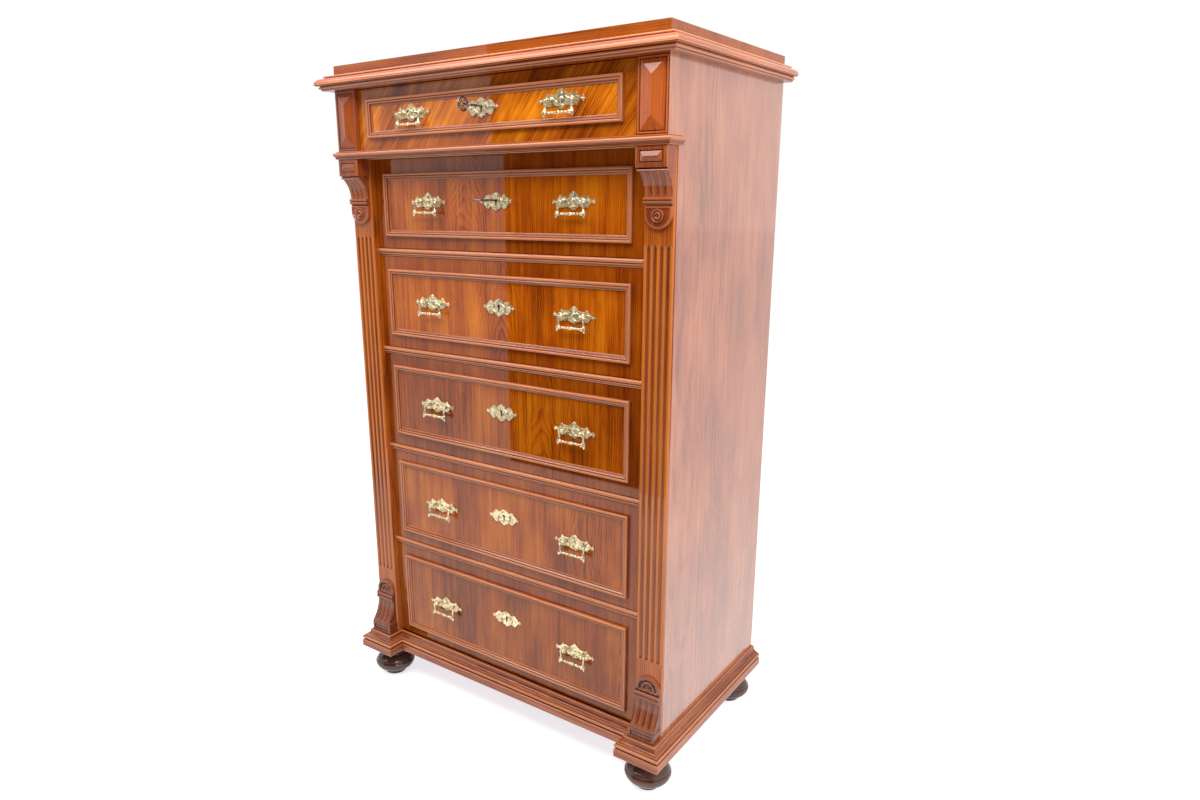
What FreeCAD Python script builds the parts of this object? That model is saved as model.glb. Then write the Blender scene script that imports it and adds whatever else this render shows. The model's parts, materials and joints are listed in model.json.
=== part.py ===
import FreeCAD, Part
import math
import os

V = FreeCAD.Vector

# A tall chest of six drawers on four turned feet, in millimetres.
# X is across the front, Z is up and the front faces -Y. While the pieces are
# made, Y = 0 is the front edge of the side panels; the last step moves the
# whole chest so that its origin is on the floor under the middle of its box.

# ---- carcass ----
carcass_width = 900.0
panel_thickness = 22.0
back_thickness = 12.0
back_y = 484.0
groove_width = 5.0
groove_depth = 3.0
divider_thickness = 18.0
frieze_rail_thickness = 18.0
bottom_thickness = 18.0
slab_thickness = 22.0
cornice_height = 33.5
frieze_front_y = -37.5
slab_front_y = -36.0

# ---- feet and plinth ----
foot_height = 84.6
foot_inset = 36.0
foot_front_inset = 41.0
foot_back_inset = 55.0
foot_radius = 54.0
foot_ring_radius = 30.0
foot_neck_radius = 31.0
foot_head_radius = 38.0
foot_neck_height = 6.0
foot_flare_height = 10.0
plinth_height = 49.4
plinth_projection = 22.5
plinth_lip = 3.0
lip_out = 0.8
# profile from the floor side up, as shares of the projection and of the height
plinth_outs = [1.0, 1.0, 0.91, 1.0, 1.0, 0.82, 0.80, 0.60, 0.29]
plinth_levels = [0.0, 0.43, 0.47, 0.51, 0.61, 0.65, 0.90, 0.92, 0.98]
plinth_back_overhang = 6.0
pedestal_front_y = -36.0
rail_front_y = 8.4
plinth_rail = 40.0

# ---- drawer openings, from the top drawer down ----
frieze_opening = 136.0
openings = [209.0, 226.0, 239.0, 245.0, 263.0]
frieze_drawer_y = -27.0
drawer_y = 12.0
drawer_gap = 1.2
front_thickness = 20.0

# ---- drawer boxes ----
box_side = 12.0
box_bottom = 6.0
box_bottom_lift = 10.0
box_top_drop = 12.0
box_back_gap = 14.0
guide_gap = 1.5
guide_height = 22.0
guide_step = 5.0

# ---- frame mouldings on the drawer fronts ----
frame_side_margin = 31.8
frame_width = 15.5
frame_height = 8.6
frame_end_margins = [25.0, 31.0, 31.5, 30.0, 25.0, 26.0]
frame_lifts = [1.0, -2.0, 0.0, 2.0, 0.0, -2.5]

# ---- pilasters ----
pilaster_width = 67.0
pilaster_front_y = -6.0
pilaster_depth = 36.0
arris = 2.5
flute_count = 4
flute_spacing = 14.5
flute_width = 10.0
flute_depth = 3.5
flute_bottom = 315.0
flute_top = 1207.0

# ---- capitals and bases of the pilasters ----
block_front_y = -41.0
block_height = 38.5
block_border = 5.0
block_sink = 2.0
pad_width = 44.0
pad_height = 17.0
pad_rise = 5.0
fillet_inset = 2.0
fillet_side = 0.5
cavetto_height = 7.5
corbel_out_y = -36.0
corbel_in_y = -14.0
corbel_height = 46.0
corbel_side_margin = 4.0
reed_count = 4
band_height = 16.0
band_front_y = -18.0
drop_height = 43.0
drop_plate_y = -14.0
rosette_radius = 13.0
rosette_rise = 5.0
base_block_front_y = -36.0
base_block_height = 26.0
base_border_x = 10.0
base_border_z = 6.0
base_sink = 2.5
base_ledge = 1.0
base_fillet_height = 6.0
base_corbel_height = 58.0
base_bar_height = 23.0
arch_height = 34.0

# ---- frieze blocks ----
frieze_block_margin = 1.0
panel_width = 46.0
panel_height = 113.0
panel_rise = 7.0
panel_ridge = 65.0
panel_lift = 3.0

# ---- cornice and mid moulding ----
cornice_projection = 34.0
mid_projection = 11.0
# profiles from the bottom up, as shares of the projection and of the height
cornice_outs = [0.59, 0.68, 0.74, 0.68, 0.71, 0.94, 1.0, 1.0, 0.90, 0.74, 0.44, 0.51, 0.46]
cornice_levels = [0.0, 0.04, 0.13, 0.23, 0.30, 0.36, 0.44, 0.56, 0.70, 0.78, 0.82, 0.90, 1.0]
mid_outs = [0.55, 0.55, 0.77, 0.95, 1.0, 0.95, 0.77, 0.18, 0.09]
mid_levels = [0.0, 0.22, 0.28, 0.42, 0.55, 0.69, 0.83, 0.89, 1.0]
mid_return_end_y = 10.0

# ---- handles ----
handle_inset = 176.0
post_spacing = 50.0
post_lifts = [6.0, 4.5, 5.5, 3.5, -1.5, -6.0]
post_radius = 3.4
post_head_radius = 5.0
post_reach = 12.0
plate_thickness = 2.2
plate_half_length = 55.0
plate_up = 22.0
plate_down = 16.5
pin_radius = 1.5
pin_clearance = 0.08
bail_gap = 0.6
bail_half = 35.0
bail_drop = 24.0
bail_forward = 2.0
bail_arm_radius = 2.4
bail_grip_radius = 3.1
bail_bead_radius = 4.6
bail_pin_overlap = 1.0
bail_elbow_out = 1.0
bail_elbow_drop = 0.5
bail_arm_inset = 1.0
bail_arm_end_height = 7.0
bail_corner_inset = 1.5
bail_end_width = 6.0
bail_centre_half_width = 5.0
bail_tip = 7.5
bail_tip_radius = 0.7
bail_tip_width = 2.0
bail_hook = 2.0

# ---- locks and keys ----
keyhole_lifts = [8.0, 8.5, 12.5, 18.5, 18.5, 20.5]
keyhole_radius = 2.8
keyhole_slot = 3.0
keyhole_slot_drop = 11.0
key_plate_half_length = 45.0
key_plate_half_height = 20.0
key_plate_drop = 3.0
case_width = 60.0
case_above = 22.0
case_below = 20.0
case_depth = 18.0
case_wall = 2.0
bolt_width = 14.0
bolt_thickness = 5.0
bolt_clearance = 0.5
bolt_recess = 1.5
bolt_tail = 6.0
mortise_clearance = 2.0
key_shank_radius = 2.2
key_bit_drop = 10.0
key_bit_thickness = 2.2
key_bit_length = 5.0
bit_clearance = 0.75
key_reach = 74.0
key_bow_length = 32.0
key_bow_half_width = 15.0
key_bow_thickness = 4.5
key_bow_wall = 5.5
key_collar_radius = 4.5
key_collar_length = 5.0
key_collar_overlap = 2.0

# ---- heights that follow from the values above ----
half = carcass_width / 2.0
opening_half = half - pilaster_width
front_half = opening_half - drawer_gap
box_half = opening_half - guide_step - guide_gap
frame_outer_half = front_half - frame_side_margin
handle_x = opening_half - handle_inset
foot_x = half - foot_inset
foot_front_y = pedestal_front_y + foot_front_inset
foot_back_y = back_y - foot_back_inset
inner = half - panel_thickness
base_z = foot_height + plinth_height
opening_z = []
z = base_z
for height in reversed(openings):
    opening_z.insert(0, (z, z + height))
    z = z + height + divider_thickness
mid_bottom = opening_z[0][1]
frieze_bottom = mid_bottom + frieze_rail_thickness
frieze_top = frieze_bottom + frieze_opening
slab_bottom = frieze_top + cornice_height
slab_top = slab_bottom + slab_thickness
pilaster_x = (opening_half + half) / 2.0
opening_z.insert(0, (frieze_bottom, frieze_top))
face_y = [frieze_drawer_y] + [drawer_y] * len(openings)
opening_mid = [(low + high) / 2.0 for low, high in opening_z]
back_inner_y = back_y - back_thickness
box_back_y = back_inner_y - box_back_gap


def box(x0, x1, y0, y1, z0, z1):
    return Part.makeBox(x1 - x0, y1 - y0, z1 - z0, V(x0, y0, z0))


def face_of(points):
    return Part.Face(Part.makePolygon(points + points[:1]))


def plan_prism(points, z0, z1):
    return face_of([V(x, y, z0) for x, y in points]).extrude(V(0, 0, z1 - z0))


def side_prism(points, x0, x1):
    return face_of([V(x0, y, h) for y, h in points]).extrude(V(x1 - x0, 0, 0))


def front_prism(points, y0, y1):
    return face_of([V(x, y0, h) for x, h in points]).extrude(V(0, y1 - y0, 0))


def mirrored(shapes):
    return [s.mirror(V(0, 0, 0), V(1, 0, 0)) for s in shapes]


def rod(a, b, radius):
    run = V(*b) - V(*a)
    return Part.makeCylinder(radius, run.Length, V(*a), run)


def ball(centre, radius):
    return Part.makeSphere(radius, V(*centre))


def joined(first, *rest):
    solid = first
    for other in rest:
        solid = solid.fuse(other)
    return solid.removeSplitter()


def shell_of(faces):
    solid = Part.makeSolid(Part.makeShell(faces))
    if solid.Volume < 0:
        solid.reverse()
    return solid


def faceted_bar(stations, sides=8):
    """A bar with flat facets through (point, radius) stations, closed at both ends."""
    points = [V(*point) for point, radius in stations]
    last = len(points) - 1
    normal = V(0, 0, 1)
    rings = []
    for k, (point, radius) in enumerate(stations):
        before = (points[k] - points[k - 1]).normalize() if k else V(0, 0, 0)
        after = (points[k + 1] - points[k]).normalize() if k < last else V(0, 0, 0)
        tangent = (before + after).normalize()
        normal = (normal - tangent * normal.dot(tangent)).normalize()
        other = tangent.cross(normal)
        ring = []
        for m in range(sides):
            angle = 2.0 * math.pi * (m + 0.5) / sides
            ring.append(points[k] + normal * (radius * math.cos(angle))
                        + other * (radius * math.sin(angle)))
        rings.append(ring)
    faces = [face_of(rings[0]), face_of(rings[-1])]
    for ring, following in zip(rings, rings[1:]):
        for m in range(sides):
            n = (m + 1) % sides
            faces.append(face_of([ring[m], ring[n], following[n]]))
            faces.append(face_of([ring[m], following[n], following[m]]))
    return shell_of(faces)


def mitred_runs(rings):
    """Straight mitred lengths of moulding between neighbouring cross-sections."""
    lengths = []
    for ring, following in zip(rings, rings[1:]):
        faces = [face_of(ring), face_of(following)]
        for k in range(len(ring)):
            m = (k + 1) % len(ring)
            faces.append(face_of([ring[k], ring[m], following[m], following[k]]))
        lengths.append(shell_of(faces))
    return lengths


def plan_moulding(path, profile):
    """Runs a profile of (out, height) points along a path in plan."""
    normals = []
    for (ax, ay), (bx, by) in zip(path, path[1:]):
        length = math.hypot(bx - ax, by - ay)
        normals.append(((by - ay) / length, (ax - bx) / length))
    rings = []
    for k, (px, py) in enumerate(path):
        before = normals[max(k - 1, 0)]
        after = normals[min(k, len(normals) - 1)]
        share = 1.0 + before[0] * after[0] + before[1] * after[1]
        mx = (before[0] + after[0]) / share
        my = (before[1] + after[1]) / share
        rings.append([V(px + mx * out, py + my * out, h) for out, h in profile])
    return mitred_runs(rings)


def split_round(board, x_half, y0, y1):
    """The board as four pieces round a slot that goes right through it."""
    limits = board.BoundBox
    z0, z1 = limits.ZMin, limits.ZMax
    zones = [box(limits.XMin, -x_half, limits.YMin, limits.YMax, z0, z1),
             box(x_half, limits.XMax, limits.YMin, limits.YMax, z0, z1),
             box(-x_half, x_half, limits.YMin, y0, z0, z1),
             box(-x_half, x_half, y1, limits.YMax, z0, z1)]
    return [board.common(zone) for zone in zones]


nodes = {}

# ---- feet: a squat turned bun with a neck under the plinth ----
bun_top = foot_height * 0.68
bun_middle = foot_height * 0.32


def foot(x, y):
    line = [V(0, 0, 0), V(foot_ring_radius, 0, 0)]
    waist = V(foot_neck_radius, 0, bun_top)
    neck = V(foot_neck_radius, 0, bun_top + foot_neck_height)
    flare = V(foot_head_radius, 0, bun_top + foot_neck_height + foot_flare_height)
    head = V(foot_head_radius, 0, foot_height)
    edges = [Part.makeLine(line[0], line[1]),
             Part.Arc(line[1], V(foot_radius, 0, bun_middle), waist).toShape(),
             Part.makeLine(waist, neck),
             Part.makeLine(neck, flare),
             Part.makeLine(flare, head),
             Part.makeLine(head, V(0, 0, foot_height)),
             Part.makeLine(V(0, 0, foot_height), line[0])]
    outline = Part.Face(Part.Wire(edges))
    solid = outline.revolve(V(0, 0, 0), V(0, 0, 1), 360)
    solid.translate(V(x, y, 0))
    return solid


nodes["foot_front_left"] = [foot(-foot_x, foot_front_y)]
nodes["foot_front_right"] = [foot(foot_x, foot_front_y)]
nodes["foot_back_left"] = [foot(-foot_x, foot_back_y)]
nodes["foot_back_right"] = [foot(foot_x, foot_back_y)]

# ---- plinth: moulded lengths round a frame of rails, pedestals in front ----
frame_top = base_z - bottom_thickness
plinth_profile = [(0.0, foot_height)]
for out, level in zip(plinth_outs, plinth_levels):
    plinth_profile.append((out * plinth_projection, foot_height + level * plinth_height))
plinth_profile.append((lip_out, base_z))
lip_profile = plinth_profile + [(lip_out, base_z + plinth_lip), (0.0, base_z + plinth_lip)]
plinth_profile.append((0.0, base_z))
plinth_back_y = back_y + plinth_back_overhang
plinth_path = [(-half, plinth_back_y), (-half, pedestal_front_y),
               (-opening_half, pedestal_front_y), (-opening_half, rail_front_y),
               (opening_half, rail_front_y), (opening_half, pedestal_front_y),
               (half, pedestal_front_y), (half, plinth_back_y)]
core_back_y = foot_front_y + foot_radius
back_core_y = foot_back_y - foot_head_radius
back_rail_y = plinth_back_y - panel_thickness
cores = [box(opening_half, half, pedestal_front_y, core_back_y, foot_height, frame_top),
         box(inner, half, core_back_y, plinth_back_y, foot_height, frame_top),
         box(opening_half, inner, back_core_y, back_rail_y, foot_height, frame_top)]
with_lip = plan_moulding(plinth_path, lip_profile)
without_lip = plan_moulding(plinth_path, plinth_profile)
nodes["plinth_frame"] = (with_lip[:2] + without_lip[2:-2] + with_lip[-2:]
                         + cores + mirrored(cores)
                         + [box(-opening_half, opening_half, rail_front_y,
                                rail_front_y + plinth_rail, foot_height, frame_top),
                            box(-inner, inner, back_rail_y, plinth_back_y,
                                foot_height, frame_top)])
cap = box(opening_half, half, pedestal_front_y, rail_front_y, frame_top, base_z)
nodes["bottom_board"] = [box(-half, half, rail_front_y, back_y, frame_top, base_z),
                         cap] + mirrored([cap])

# ---- side panels, back panel ----
mitre = panel_thickness
half_groove = groove_width / 2.0
panel_low = [(half, half_groove), (half, back_y), (inner, back_y), (inner, 0.0),
             (half - groove_depth, 0.0)]
panel_high = [(half, frieze_front_y), (half, back_y), (inner, back_y),
              (inner, frieze_front_y + mitre)]
sides = [plan_prism(panel_low, base_z, mid_bottom),
         plan_prism(panel_high, mid_bottom, slab_bottom)]
nodes["side_panel_right"] = sides
nodes["side_panel_left"] = mirrored(sides)
nodes["back_panel"] = [box(-inner, inner, back_inner_y, back_y, base_z, slab_bottom)]

# ---- locks: where the bolt of each lock stands ----
bit_room = key_bit_length + 2.0 * bit_clearance


def bolt_span(k):
    front = face_y[k] + front_thickness + bit_room + 2.0 * bolt_clearance
    return front, front + bolt_thickness


# ---- dividers between the drawers, T-shaped to pass between the pilasters ----
stile_back_y = pilaster_front_y + pilaster_depth


def divider(z0, z1):
    front = [(-opening_half, rail_front_y), (opening_half, rail_front_y),
             (opening_half, stile_back_y), (inner, stile_back_y), (inner, back_inner_y),
             (-inner, back_inner_y), (-inner, stile_back_y), (-opening_half, stile_back_y)]
    return plan_prism(front, z0, z1)


top_rail = plan_prism([(-inner, frieze_front_y + mitre), (inner, frieze_front_y + mitre),
                       (inner, back_inner_y), (-inner, back_inner_y)],
                      mid_bottom, frieze_bottom)
slot_half = bolt_width / 2.0 + mortise_clearance
bolt_1 = bolt_span(0)
bolt_2 = bolt_span(1)
nodes["divider_1"] = split_round(top_rail, slot_half, bolt_2[0] - mortise_clearance,
                                 bolt_2[1] + mortise_clearance)
for k in range(1, len(openings)):
    z0 = opening_z[k + 1][1]
    nodes["divider_%d" % (k + 1)] = [divider(z0, z0 + divider_thickness)]

# ---- guide strips beside the drawers ----
guides = []
for k, (z0, z1) in enumerate(opening_z):
    start = 0.0 if k == 0 else drawer_y + front_thickness + guide_gap
    guides.append(box(opening_half - guide_step, inner, start, back_inner_y, z0, z0 + guide_height))
nodes["drawer_runners"] = guides + mirrored(guides)

# ---- mid moulding under the frieze ----
mid_edge = [(out * mid_projection, mid_bottom + level * frieze_rail_thickness)
            for out, level in zip(mid_outs, mid_levels)]
mid_profile = [(-mitre, mid_bottom)] + mid_edge + [(-mitre, frieze_bottom)]
side_mid_profile = [(0.0, mid_bottom)] + mid_edge + [(0.0, frieze_bottom)]
mid_path = [(-half, mid_return_end_y), (-half, frieze_front_y),
            (half, frieze_front_y), (half, mid_return_end_y)]
nodes["mid_moulding"] = ([plan_moulding(mid_path, mid_profile)[1]]
                         + plan_moulding(mid_path, side_mid_profile)[0::2])

# ---- frieze blocks beside the top drawer, each with a raised hipped panel ----
panel_mid_z = (frieze_bottom + frieze_top) / 2.0 + panel_lift


def hipped_pad(x, y, z, width, height, ridge, rise):
    """A low pad with four sloping sides that meet in an upright or level ridge."""
    across = width >= height
    rx = ridge / 2.0 if across else 0.0
    rz = 0.0 if across else ridge / 2.0
    corners = [V(x + sx * width / 2.0, y, z + sz * height / 2.0)
               for sx, sz in ((-1, -1), (1, -1), (1, 1), (-1, 1))]
    low = V(x - rx, y - rise, z - rz)
    high = V(x + rx, y - rise, z + rz)
    if across:
        slopes = [[corners[0], corners[1], high, low], [corners[1], corners[2], high],
                  [corners[2], corners[3], low, high], [corners[3], corners[0], low]]
    else:
        slopes = [[corners[0], corners[1], low], [corners[1], corners[2], high, low],
                  [corners[2], corners[3], high], [corners[3], corners[0], low, high]]
    return shell_of([face_of(corners)] + [face_of(points) for points in slopes])


block_inner = opening_half - frieze_block_margin
frieze_block = plan_prism([(block_inner, frieze_front_y), (half, frieze_front_y),
                           (inner, frieze_front_y + mitre), (inner, 0.0), (block_inner, 0.0)],
                          frieze_bottom, frieze_top)
frieze_pad = hipped_pad(pilaster_x, frieze_front_y, panel_mid_z, panel_width, panel_height,
                        panel_ridge, panel_rise)
nodes["frieze_block_right"] = [frieze_block, frieze_pad]
nodes["frieze_block_left"] = mirrored([frieze_block, frieze_pad])

# ---- pilasters with round-ended flutes ----
stile = [(opening_half, pilaster_front_y + arris), (opening_half + arris, pilaster_front_y),
         (half - arris, pilaster_front_y), (half, pilaster_front_y + arris),
         (half, -half_groove), (half - groove_depth, 0.0), (inner, 0.0),
         (inner, stile_back_y), (opening_half, stile_back_y)]
shaft = plan_prism(stile, base_z, mid_bottom)
flute_radius = ((flute_width / 2.0) ** 2 + flute_depth ** 2) / (2.0 * flute_depth)
flute_y = pilaster_front_y + flute_depth - flute_radius
for k in range(flute_count):
    fx = pilaster_x + (k - (flute_count - 1) / 2.0) * flute_spacing
    low = (fx, flute_y, flute_bottom + flute_radius)
    high = (fx, flute_y, flute_top - flute_radius)
    for tool in (rod(low, high, flute_radius), ball(low, flute_radius),
                 ball(high, flute_radius)):
        shaft = shaft.cut(tool)
nodes["pilaster_right"] = [shaft]
nodes["pilaster_left"] = mirrored([shaft])

# ---- capitals: block with a pad, cavetto, reeded corbel, band, drop and rosette ----
reed_left = opening_half + corbel_side_margin
reed_width = (half - corbel_side_margin / 2.0 - reed_left) / reed_count


def corbel(z_small, z_large):
    """Reeds side by side that curve out from the shaft, towards z_large."""
    rise = abs(z_large - z_small)
    out = corbel_in_y - corbel_out_y
    radius = (rise ** 2 + out ** 2) / (2.0 * out)
    turn = math.degrees(math.asin(rise / radius))
    sign = 1.0 if z_large > z_small else -1.0
    axis_y = corbel_in_y - radius
    steps = 8
    curve = []
    for k in range(steps + 1):
        angle = math.radians(turn * k / steps)
        curve.append((axis_y + (radius + 2.0) * math.cos(angle),
                      z_small + sign * (radius + 2.0) * math.sin(angle)))
    curve = [p for p in curve if (z_large - p[1]) * sign > 1.0]
    slope_end = (axis_y + math.sqrt((radius + 2.0) ** 2 - rise ** 2), z_large)
    body = side_prism(curve + [slope_end, (pilaster_front_y, z_large),
                               (pilaster_front_y, z_small)],
                      reed_left, reed_left + reed_count * reed_width)
    zone = box(reed_left - 1.0, half + 1.0, corbel_out_y * 2, pilaster_front_y,
               min(z_small, z_large), max(z_small, z_large))
    for k in range(reed_count):
        cx = reed_left + (k + 0.5) * reed_width
        centre = V(cx, corbel_in_y + reed_width / 2.0, z_small)
        ring = Part.Wire(Part.makeCircle(reed_width / 2.0 - 0.05, centre, V(0, 0, 1)))
        reed = Part.Face(ring).revolve(V(cx, axis_y, z_small), V(1, 0, 0), sign * (turn + 6.0))
        body = body.fuse(reed.common(zone))
    return body.removeSplitter()


band_left = opening_half + corbel_side_margin
band_right = half - corbel_side_margin / 2.0
bevel = 3.0


def rounded_bar(z0, z1, front):
    return side_prism([(pilaster_front_y, z0), (front + bevel, z0), (front, z0 + bevel),
                       (front, z1 - bevel), (front + bevel, z1), (pilaster_front_y, z1)],
                      band_left, band_right)


def round_ended_plate(z_flat, z_round, front):
    """A plate on the shaft, level at one end and half round at the other."""
    sign = 1.0 if z_round > z_flat else -1.0
    radius = (band_right - band_left) / 2.0 - 0.5
    cx = (band_left + band_right) / 2.0
    z_turn = z_round - sign * radius
    disc = rod((cx, pilaster_front_y, z_turn), (cx, front, z_turn), radius)
    low, high = sorted((z_flat, z_turn))
    below, above = sorted((z_flat, z_round))
    zone = box(cx - 2.0 * radius, cx + 2.0 * radius, front, pilaster_front_y, below, above)
    return joined(box(cx - radius, cx + radius, front, pilaster_front_y, low, high),
                  disc.common(zone))


fillet_out = corbel_out_y - block_front_y
block_bottom = mid_bottom - block_height
cavetto_bottom = block_bottom - cavetto_height
corbel_bottom = cavetto_bottom - corbel_height
band_bottom = corbel_bottom - band_height
drop_bottom = band_bottom - drop_height
band_x = (band_left + band_right) / 2.0
rosette_z = band_bottom - 0.42 * drop_height
capital = [box(opening_half, half, block_front_y, pilaster_front_y, block_bottom,
               mid_bottom).cut(box(opening_half + block_border, half - block_border,
                                   block_front_y, block_front_y + block_sink,
                                   block_bottom + block_border, mid_bottom - block_border)),
           hipped_pad(pilaster_x, block_front_y + block_sink,
                      (block_bottom + mid_bottom) / 2.0,
                      pad_width, pad_height, pad_width - pad_height, pad_rise),
           side_prism([(pilaster_front_y, cavetto_bottom), (corbel_out_y, cavetto_bottom),
                       (corbel_out_y - 0.2 * fillet_out, (cavetto_bottom + block_bottom) / 2.0),
                       (corbel_out_y - 0.8 * fillet_out, block_bottom),
                       (pilaster_front_y, block_bottom)],
                      opening_half + fillet_inset, half - fillet_side),
           corbel(corbel_bottom, cavetto_bottom),
           rounded_bar(band_bottom, corbel_bottom, band_front_y),
           round_ended_plate(band_bottom, drop_bottom, drop_plate_y),
           Part.makeCone(rosette_radius, rosette_radius * 0.55, rosette_rise,
                         V(band_x, drop_plate_y, rosette_z), V(0, -1, 0))]
nodes["capital_right"] = capital
nodes["capital_left"] = mirrored(capital)

# ---- bases of the pilasters: the same parts turned upside down ----
base_block_top = base_z + base_block_height
base_fillet_top = base_block_top + base_fillet_height
base_corbel_top = base_fillet_top + base_corbel_height
base_bar_top = base_corbel_top + base_bar_height
arch_top = base_bar_top + arch_height
base_panel = box(opening_half + base_border_x, half - base_border_x,
                 base_block_front_y, base_block_front_y + base_sink,
                 base_z + base_border_z, base_block_top - base_border_z)
pilaster_base = [box(opening_half, half, base_block_front_y, pilaster_front_y,
                     base_z, base_block_top).cut(base_panel),
                 box(opening_half + fillet_inset, half - fillet_side,
                     base_block_front_y + base_ledge, pilaster_front_y,
                     base_block_top, base_fillet_top),
                 corbel(base_corbel_top, base_fillet_top),
                 rounded_bar(base_corbel_top, base_bar_top, band_front_y),
                 round_ended_plate(base_bar_top, arch_top, drop_plate_y)]
nodes["pilaster_base_right"] = pilaster_base
nodes["pilaster_base_left"] = mirrored(pilaster_base)

# ---- cornice, packing board and top ----
cornice_profile = [(0.0, frieze_top)]
for out, level in zip(cornice_outs, cornice_levels):
    cornice_profile.append((out * cornice_projection, frieze_top + level * cornice_height))
cornice_profile.append((0.0, slab_bottom))
cornice_path = [(-half, back_y), (-half, frieze_front_y), (half, frieze_front_y),
                (half, back_y)]
nodes["cornice_moulding"] = plan_moulding(cornice_path, cornice_profile)
packing = plan_prism([(-half, frieze_front_y), (half, frieze_front_y),
                      (inner, frieze_front_y + mitre), (inner, back_inner_y),
                      (-inner, back_inner_y), (-inner, frieze_front_y + mitre)],
                     frieze_top, slab_bottom)
nodes["top_board"] = (split_round(packing, slot_half, bolt_1[0] - mortise_clearance,
                                  bolt_1[1] + mortise_clearance)
                      + [box(-half, half, slab_front_y, back_y, slab_bottom, slab_top)])

# ---- drawers ----
frame_profile = [(0.0, 0.0), (0.0, 0.62), (1.0, 0.78), (3.0, 1.0), (6.0, 0.94), (7.0, 0.62),
                 (8.0, 0.62), (9.0, 0.72), (11.5, 0.60), (13.5, 0.34), (15.5, 0.24),
                 (15.5, 0.0)]
profile_width = frame_profile[-1][0]


def frame_mouldings(face, z_mid, height):
    rings = []
    for sx, sz in ((-1, -1), (1, -1), (1, 1), (-1, 1), (-1, -1)):
        ring = []
        for w, h in frame_profile:
            inset = w * frame_width / profile_width
            ring.append(V(sx * (frame_outer_half - inset), face - h * frame_height,
                          z_mid + sz * (height / 2.0 - inset)))
        rings.append(ring)
    return mitred_runs(rings)


def keyhole(y0, y1, hole_z, growth):
    round_part = rod((0.0, y0, hole_z), (0.0, y1, hole_z), keyhole_radius + growth)
    slot = box(-keyhole_slot / 2.0 - growth, keyhole_slot / 2.0 + growth, y0, y1,
               hole_z - keyhole_slot_drop - growth, hole_z)
    return joined(round_part, slot)


# outline of a handle plate, as shares of its half length and of its reach up
# or down: leaf tips at the ends, a finial above and a shell below
plate_top = [(1.0, 0.0), (0.93, 0.30), (0.87, 0.12), (0.80, 0.14), (0.66, 0.40), (0.60, 0.62),
             (0.52, 0.50), (0.22, 0.50), (0.16, 0.68), (0.13, 0.80), (0.06, 0.84), (0.0, 1.0)]
plate_low = [(0.06, 1.0), (0.16, 0.72), (0.26, 0.46), (0.36, 0.60), (0.50, 0.88), (0.58, 0.92),
             (0.70, 0.50), (0.80, 0.22), (0.87, 0.16), (0.93, 0.36)]
# outline of a key plate, in the same way and the same above as below
key_plate_edge = [(1.0, 0.0), (0.90, 0.26), (0.80, 0.12), (0.70, 0.34), (0.58, 0.50),
                  (0.44, 0.46), (0.36, 0.70), (0.20, 0.66), (0.14, 0.90), (0.0, 1.0)]


def plate_outline(cx, cz, length, up, down, top, low):
    right_top = [(cx + length * a, cz + up * b) for a, b in top]
    left_top = [(cx - length * a, cz + up * b) for a, b in reversed(top[:-1])]
    left_low = [(cx - length * a, cz - down * b) for a, b in reversed(low)]
    right_low = [(cx + length * a, cz - down * b) for a, b in low]
    return right_top + left_top + left_low + right_low


def handle_fixed(cx, cz, face):
    """Back plate and two posts whose heads are bored for the bail's pins."""
    plate = front_prism(plate_outline(cx, cz, plate_half_length, plate_up, plate_down,
                                      plate_top, plate_low),
                        face - plate_thickness, face)
    posts = []
    for side_x in (-1, 1):
        px = cx + side_x * post_spacing / 2.0
        axis_y = face - post_reach
        post = rod((px, face - plate_thickness, cz), (px, axis_y, cz), post_radius)
        post = post.fuse(ball((px, axis_y, cz), post_head_radius))
        bore = rod((px - post_head_radius, axis_y, cz), (px + post_head_radius, axis_y, cz),
                   pin_radius + pin_clearance)
        posts.append(post.cut(bore))
    return [plate] + posts


def bail(cx, cz, face):
    """Pins in the posts, arms that flare to pointed corners, and the grip."""
    axis_y = face - post_reach
    inner_x = post_spacing / 2.0 - post_head_radius + bail_pin_overlap
    elbow_x = post_spacing / 2.0 + post_head_radius + bail_gap + bail_arm_radius
    grip_y = axis_y - bail_forward
    grip_z = cz - bail_drop
    corner_x = bail_half - bail_corner_inset
    shoulder_x = elbow_x - bail_arm_radius
    half_bar = [((inner_x, axis_y, cz), pin_radius),
                ((shoulder_x, axis_y, cz), pin_radius),
                ((elbow_x, axis_y - bail_elbow_out, cz - bail_elbow_drop), bail_arm_radius),
                ((bail_half - bail_arm_inset, grip_y + bail_hook,
                  grip_z + bail_arm_end_height), bail_arm_radius),
                ((corner_x, grip_y, grip_z), bail_bead_radius),
                ((bail_half - bail_end_width, grip_y, grip_z), bail_grip_radius),
                ((bail_centre_half_width, grip_y, grip_z), bail_grip_radius)]
    centre = [((0.0, grip_y, grip_z), bail_bead_radius)]
    bar = ([((cx - x, y, h), r) for (x, y, h), r in half_bar]
           + [((cx + x, y, h), r) for (x, y, h), r in centre]
           + [((cx + x, y, h), r) for (x, y, h), r in reversed(half_bar)])
    solid = faceted_bar(bar)
    for s in (-1, 1):
        corner = (cx + s * corner_x, grip_y, grip_z)
        point = (corner[0] + s * bail_tip_width, grip_y - bail_hook, grip_z - bail_tip)
        solid = solid.fuse(faceted_bar([(corner, bail_grip_radius),
                                        (point, bail_tip_radius)], 6))
    return [solid]


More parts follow.
